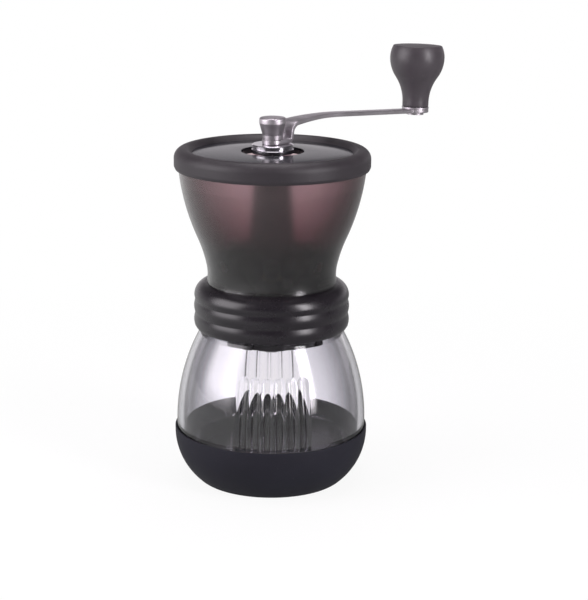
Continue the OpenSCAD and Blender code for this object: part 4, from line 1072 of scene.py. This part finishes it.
def make_floor(sizes):
    """Round floor that is white for the camera, takes soft shadows, and as gloss shows it glows dimmer with painted
    light, brighter on the left than on the right.
    """
    points = [(0.0, 0.0, 0.0)] + [(x, y, 0.0) for x, y in arc((0.0, 0.0), FLOOR_R, 0, tau, FLOOR_SIDES)[:-1]]
    floor = piece("floor", points, [(0, i + 1, (i + 1) % FLOOR_SIDES + 1) for i in range(FLOOR_SIDES)])
    material, tree, _ = new_material("pale floor")
    tree.nodes.remove(tree.nodes["Principled BSDF"])
    place = add_node(tree, "NewGeometry").outputs["Position"]
    across = split_axes(tree, place)["X"]
    away = add_node(tree, "VectorMath", {0: place}, operation="LENGTH").outputs["Value"]
    paint = add_node(tree, "BsdfDiffuse", {"Color": FLOOR_PAINT})
    # Painted light: for glossy rays the floor glows, brighter on the left, in place of its own shading
    dim = add_node(tree, "Emission",
                   {"Strength": remap(tree, across, *PAINTED_FLOOR_FADE, sizes.floor_left, sizes.floor_right)})
    mirrored = mixed(tree, seen_by(tree, "Is Glossy Ray"), paint, dim)
    plain = remap(tree, away, *FLOOR_CLEARS, sizes.floor_white, 1.0)
    seen = math_node(tree, "MULTIPLY", seen_by(tree, "Is Camera Ray", "Is Transmission Ray"), plain)
    through = mixed(tree, seen, mirrored, add_node(tree, "Emission"))
    feed(tree, tree.nodes["Material Output"].inputs, {"Surface": through.outputs[0]})
    floor.data.materials.append(material)


def make_world(sizes):
    """White behind the part, dim overhead through glass, even light on matt faces, and a bright back for gloss."""
    world = bpy.data.worlds.new("studio")
    bpy.context.scene.world = world
    world.use_nodes = True
    tree = world.node_tree
    tint = (*sizes.tint, 1.0)
    way = split_axes(tree, add_node(tree, "TexCoord").outputs["Generated"])
    back = math_node(tree, "MULTIPLY", remap(tree, way["Y"], *WORLD_BACK), remap(tree, way["Z"], *WORLD_LOW))
    studio_light = remap(tree, back, 0.0, 1.0, sizes.mirrored, sizes.backdrop)
    sunk = remap(tree, way["Z"], *WORLD_HIGH, 1.0, sizes.mirrored)
    white_light = math_node(tree, "MAXIMUM", sunk, seen_by(tree, "Is Camera Ray"))
    matt = tree.nodes["Background"]
    feed(tree, matt.inputs, {"Color": tint, "Strength": sizes.world})
    studio = add_node(tree, "Background", {"Color": tint, "Strength": studio_light})
    white = add_node(tree, "Background", {"Color": WHITE, "Strength": white_light})
    gloss = mixed(tree, seen_by(tree, "Is Glossy Ray"), matt, studio)
    seen = mixed(tree, seen_by(tree, "Is Camera Ray", "Is Transmission Ray"), gloss, white)
    feed(tree, tree.nodes["World Output"].inputs, {"Surface": seen.outputs[0]})


def make_light(name, power, size, place, tint):
    """Area lamp with soft edges."""
    lamp = bpy.data.lights.new(name, "AREA")
    lamp.color = tint
    lamp.shape = "RECTANGLE"
    lamp.size, lamp.size_y = size
    lamp.energy = power
    lamp.use_nodes = True
    tree = lamp.node_tree
    spot = split_axes(tree, add_node(tree, "NewGeometry").outputs["Parametric"])
    across, along = (remap(tree, math_node(tree, "PINGPONG", spot[axis], 0.5), 0.0, LAMP_FADE, ease="SMOOTHSTEP")
                     for axis in ("X", "Y"))
    soft = math_node(tree, "MULTIPLY", across, along)
    feed(tree, tree.nodes["Emission"].inputs, {"Strength": math_node(tree, "MULTIPLY", soft, LAMP_GAIN)})
    obj = new_object(name, lamp)
    obj.location = place
    obj.rotation_euler = (Vector(LAMP_TARGET) - Vector(place)).to_track_quat("-Z", "Y").to_euler()


def make_camera(sizes):
    camera = bpy.data.cameras.new("photo camera")
    camera.lens = sizes.lens
    camera.sensor_width = 36.0
    camera.sensor_fit = "AUTO"
    camera.clip_start, camera.clip_end = 0.01, 50.0
    obj = new_object("photo camera", camera)
    place = Matrix.Translation((sizes.camera_side, -sizes.camera_away, sizes.camera_up))
    place = place @ Matrix.Rotation(pi / 2 - sizes.camera_pitch, 4, "X")
    obj.matrix_world = place @ Matrix.Rotation(sizes.camera_roll, 4, "Z")
    bpy.context.scene.camera = obj


def make_stage(sizes):
    make_floor(sizes)
    make_world(sizes)
    for side, size, place in LAMPS:
        make_light(side + " light", getattr(sizes, side), size, place, sizes.tint)
    bpy.context.scene.view_settings.view_transform = "Standard"
    make_camera(sizes)


# Operators

def build(context, make, *groups):
    """Makes pieces with the named groups of settings."""
    settings = context.scene.grinder
    make(*(getattr(settings, name) for name in groups))
    return {"FINISHED"}


class GRINDER_OT_base(Operator):
    """Make the soft base"""
    bl_idname = "grinder.base"
    bl_label = "Base"

    def execute(self, context):
        return build(context, make_base, "base", "finishes")


class GRINDER_OT_jar(Operator):
    """Make the glass jar"""
    bl_idname = "grinder.jar"
    bl_label = "Jar"

    def execute(self, context):
        return build(context, make_jar, "jar", "base")


class GRINDER_OT_collar(Operator):
    """Make the ribbed collar"""
    bl_idname = "grinder.collar"
    bl_label = "Collar"

    def execute(self, context):
        return build(context, make_collar, "collar", "finishes")


class GRINDER_OT_hopper(Operator):
    """Make the hopper"""
    bl_idname = "grinder.hopper"
    bl_label = "Hopper"

    def execute(self, context):
        return build(context, make_hopper, "hopper", "finishes")


class GRINDER_OT_lid(Operator):
    """Make the lid's ring and plate"""
    bl_idname = "grinder.lid"
    bl_label = "Lid"

    def execute(self, context):
        return build(context, make_lid, "lid", "finishes")


class GRINDER_OT_crank(Operator):
    """Make the crank and its nut"""
    bl_idname = "grinder.crank"
    bl_label = "Crank"

    def execute(self, context):
        return build(context, make_crank, "crank", "knob", "finishes")


class GRINDER_OT_knob(Operator):
    """Make the knob and its cap"""
    bl_idname = "grinder.knob"
    bl_label = "Knob"

    def execute(self, context):
        return build(context, make_knob, "knob", "crank", "finishes")


class GRINDER_OT_spring(Operator):
    """Make the spring over the inner burr"""
    bl_idname = "grinder.spring"
    bl_label = "Spring"

    def execute(self, context):
        return build(context, make_spring, "spring", "finishes")


class GRINDER_OT_works(Operator):
    """Finish the burrs, the shaft, the screws and the other inner pieces"""
    bl_idname = "grinder.works"
    bl_label = "Works"

    def execute(self, context):
        return build(context, dress_works, "finishes")


class GRINDER_OT_stage(Operator):
    """Set up the floor, the light and the camera"""
    bl_idname = "grinder.stage"
    bl_label = "Stage"

    def execute(self, context):
        return build(context, make_stage, "stage")


OPERATORS = (GRINDER_OT_base, GRINDER_OT_jar, GRINDER_OT_collar, GRINDER_OT_hopper, GRINDER_OT_lid,
             GRINDER_OT_crank, GRINDER_OT_knob, GRINDER_OT_spring, GRINDER_OT_works, GRINDER_OT_stage)


class GRINDER_PT_pieces(Panel):
    """Pieces of the grinder with their sizes and colours"""
    bl_idname = "GRINDER_PT_pieces"
    bl_label = "Coffee grinder"
    bl_space_type = "VIEW_3D"
    bl_region_type = "UI"
    bl_category = "Grinder"

    def draw(self, context):
        settings = context.scene.grinder
        for operator in OPERATORS:
            self.layout.operator(operator.bl_idname)
        for name in GrinderSettings.__annotations__:
            part = getattr(settings, name)
            box = self.layout.box()
            box.label(text=settings.bl_rna.properties[name].name)
            for size in part.__annotations__:
                box.prop(part, size)


CLASSES = (BaseSizes, JarSizes, CollarSizes, HopperSizes, LidSizes, CrankSizes, KnobSizes, SpringSizes, Finishes,
           StageSettings, GrinderSettings, *OPERATORS, GRINDER_PT_pieces)


def register():
    for item in CLASSES:
        bpy.utils.register_class(item)
    bpy.types.Scene.grinder = PointerProperty(type=GrinderSettings)


def unregister():
    del bpy.types.Scene.grinder
    for item in reversed(CLASSES):
        bpy.utils.unregister_class(item)


def main():
    register()
    for operator in OPERATORS:
        group_name, name = operator.bl_idname.split(".")
        getattr(getattr(bpy.ops, group_name), name)()


if __name__ == "__main__":
    main()
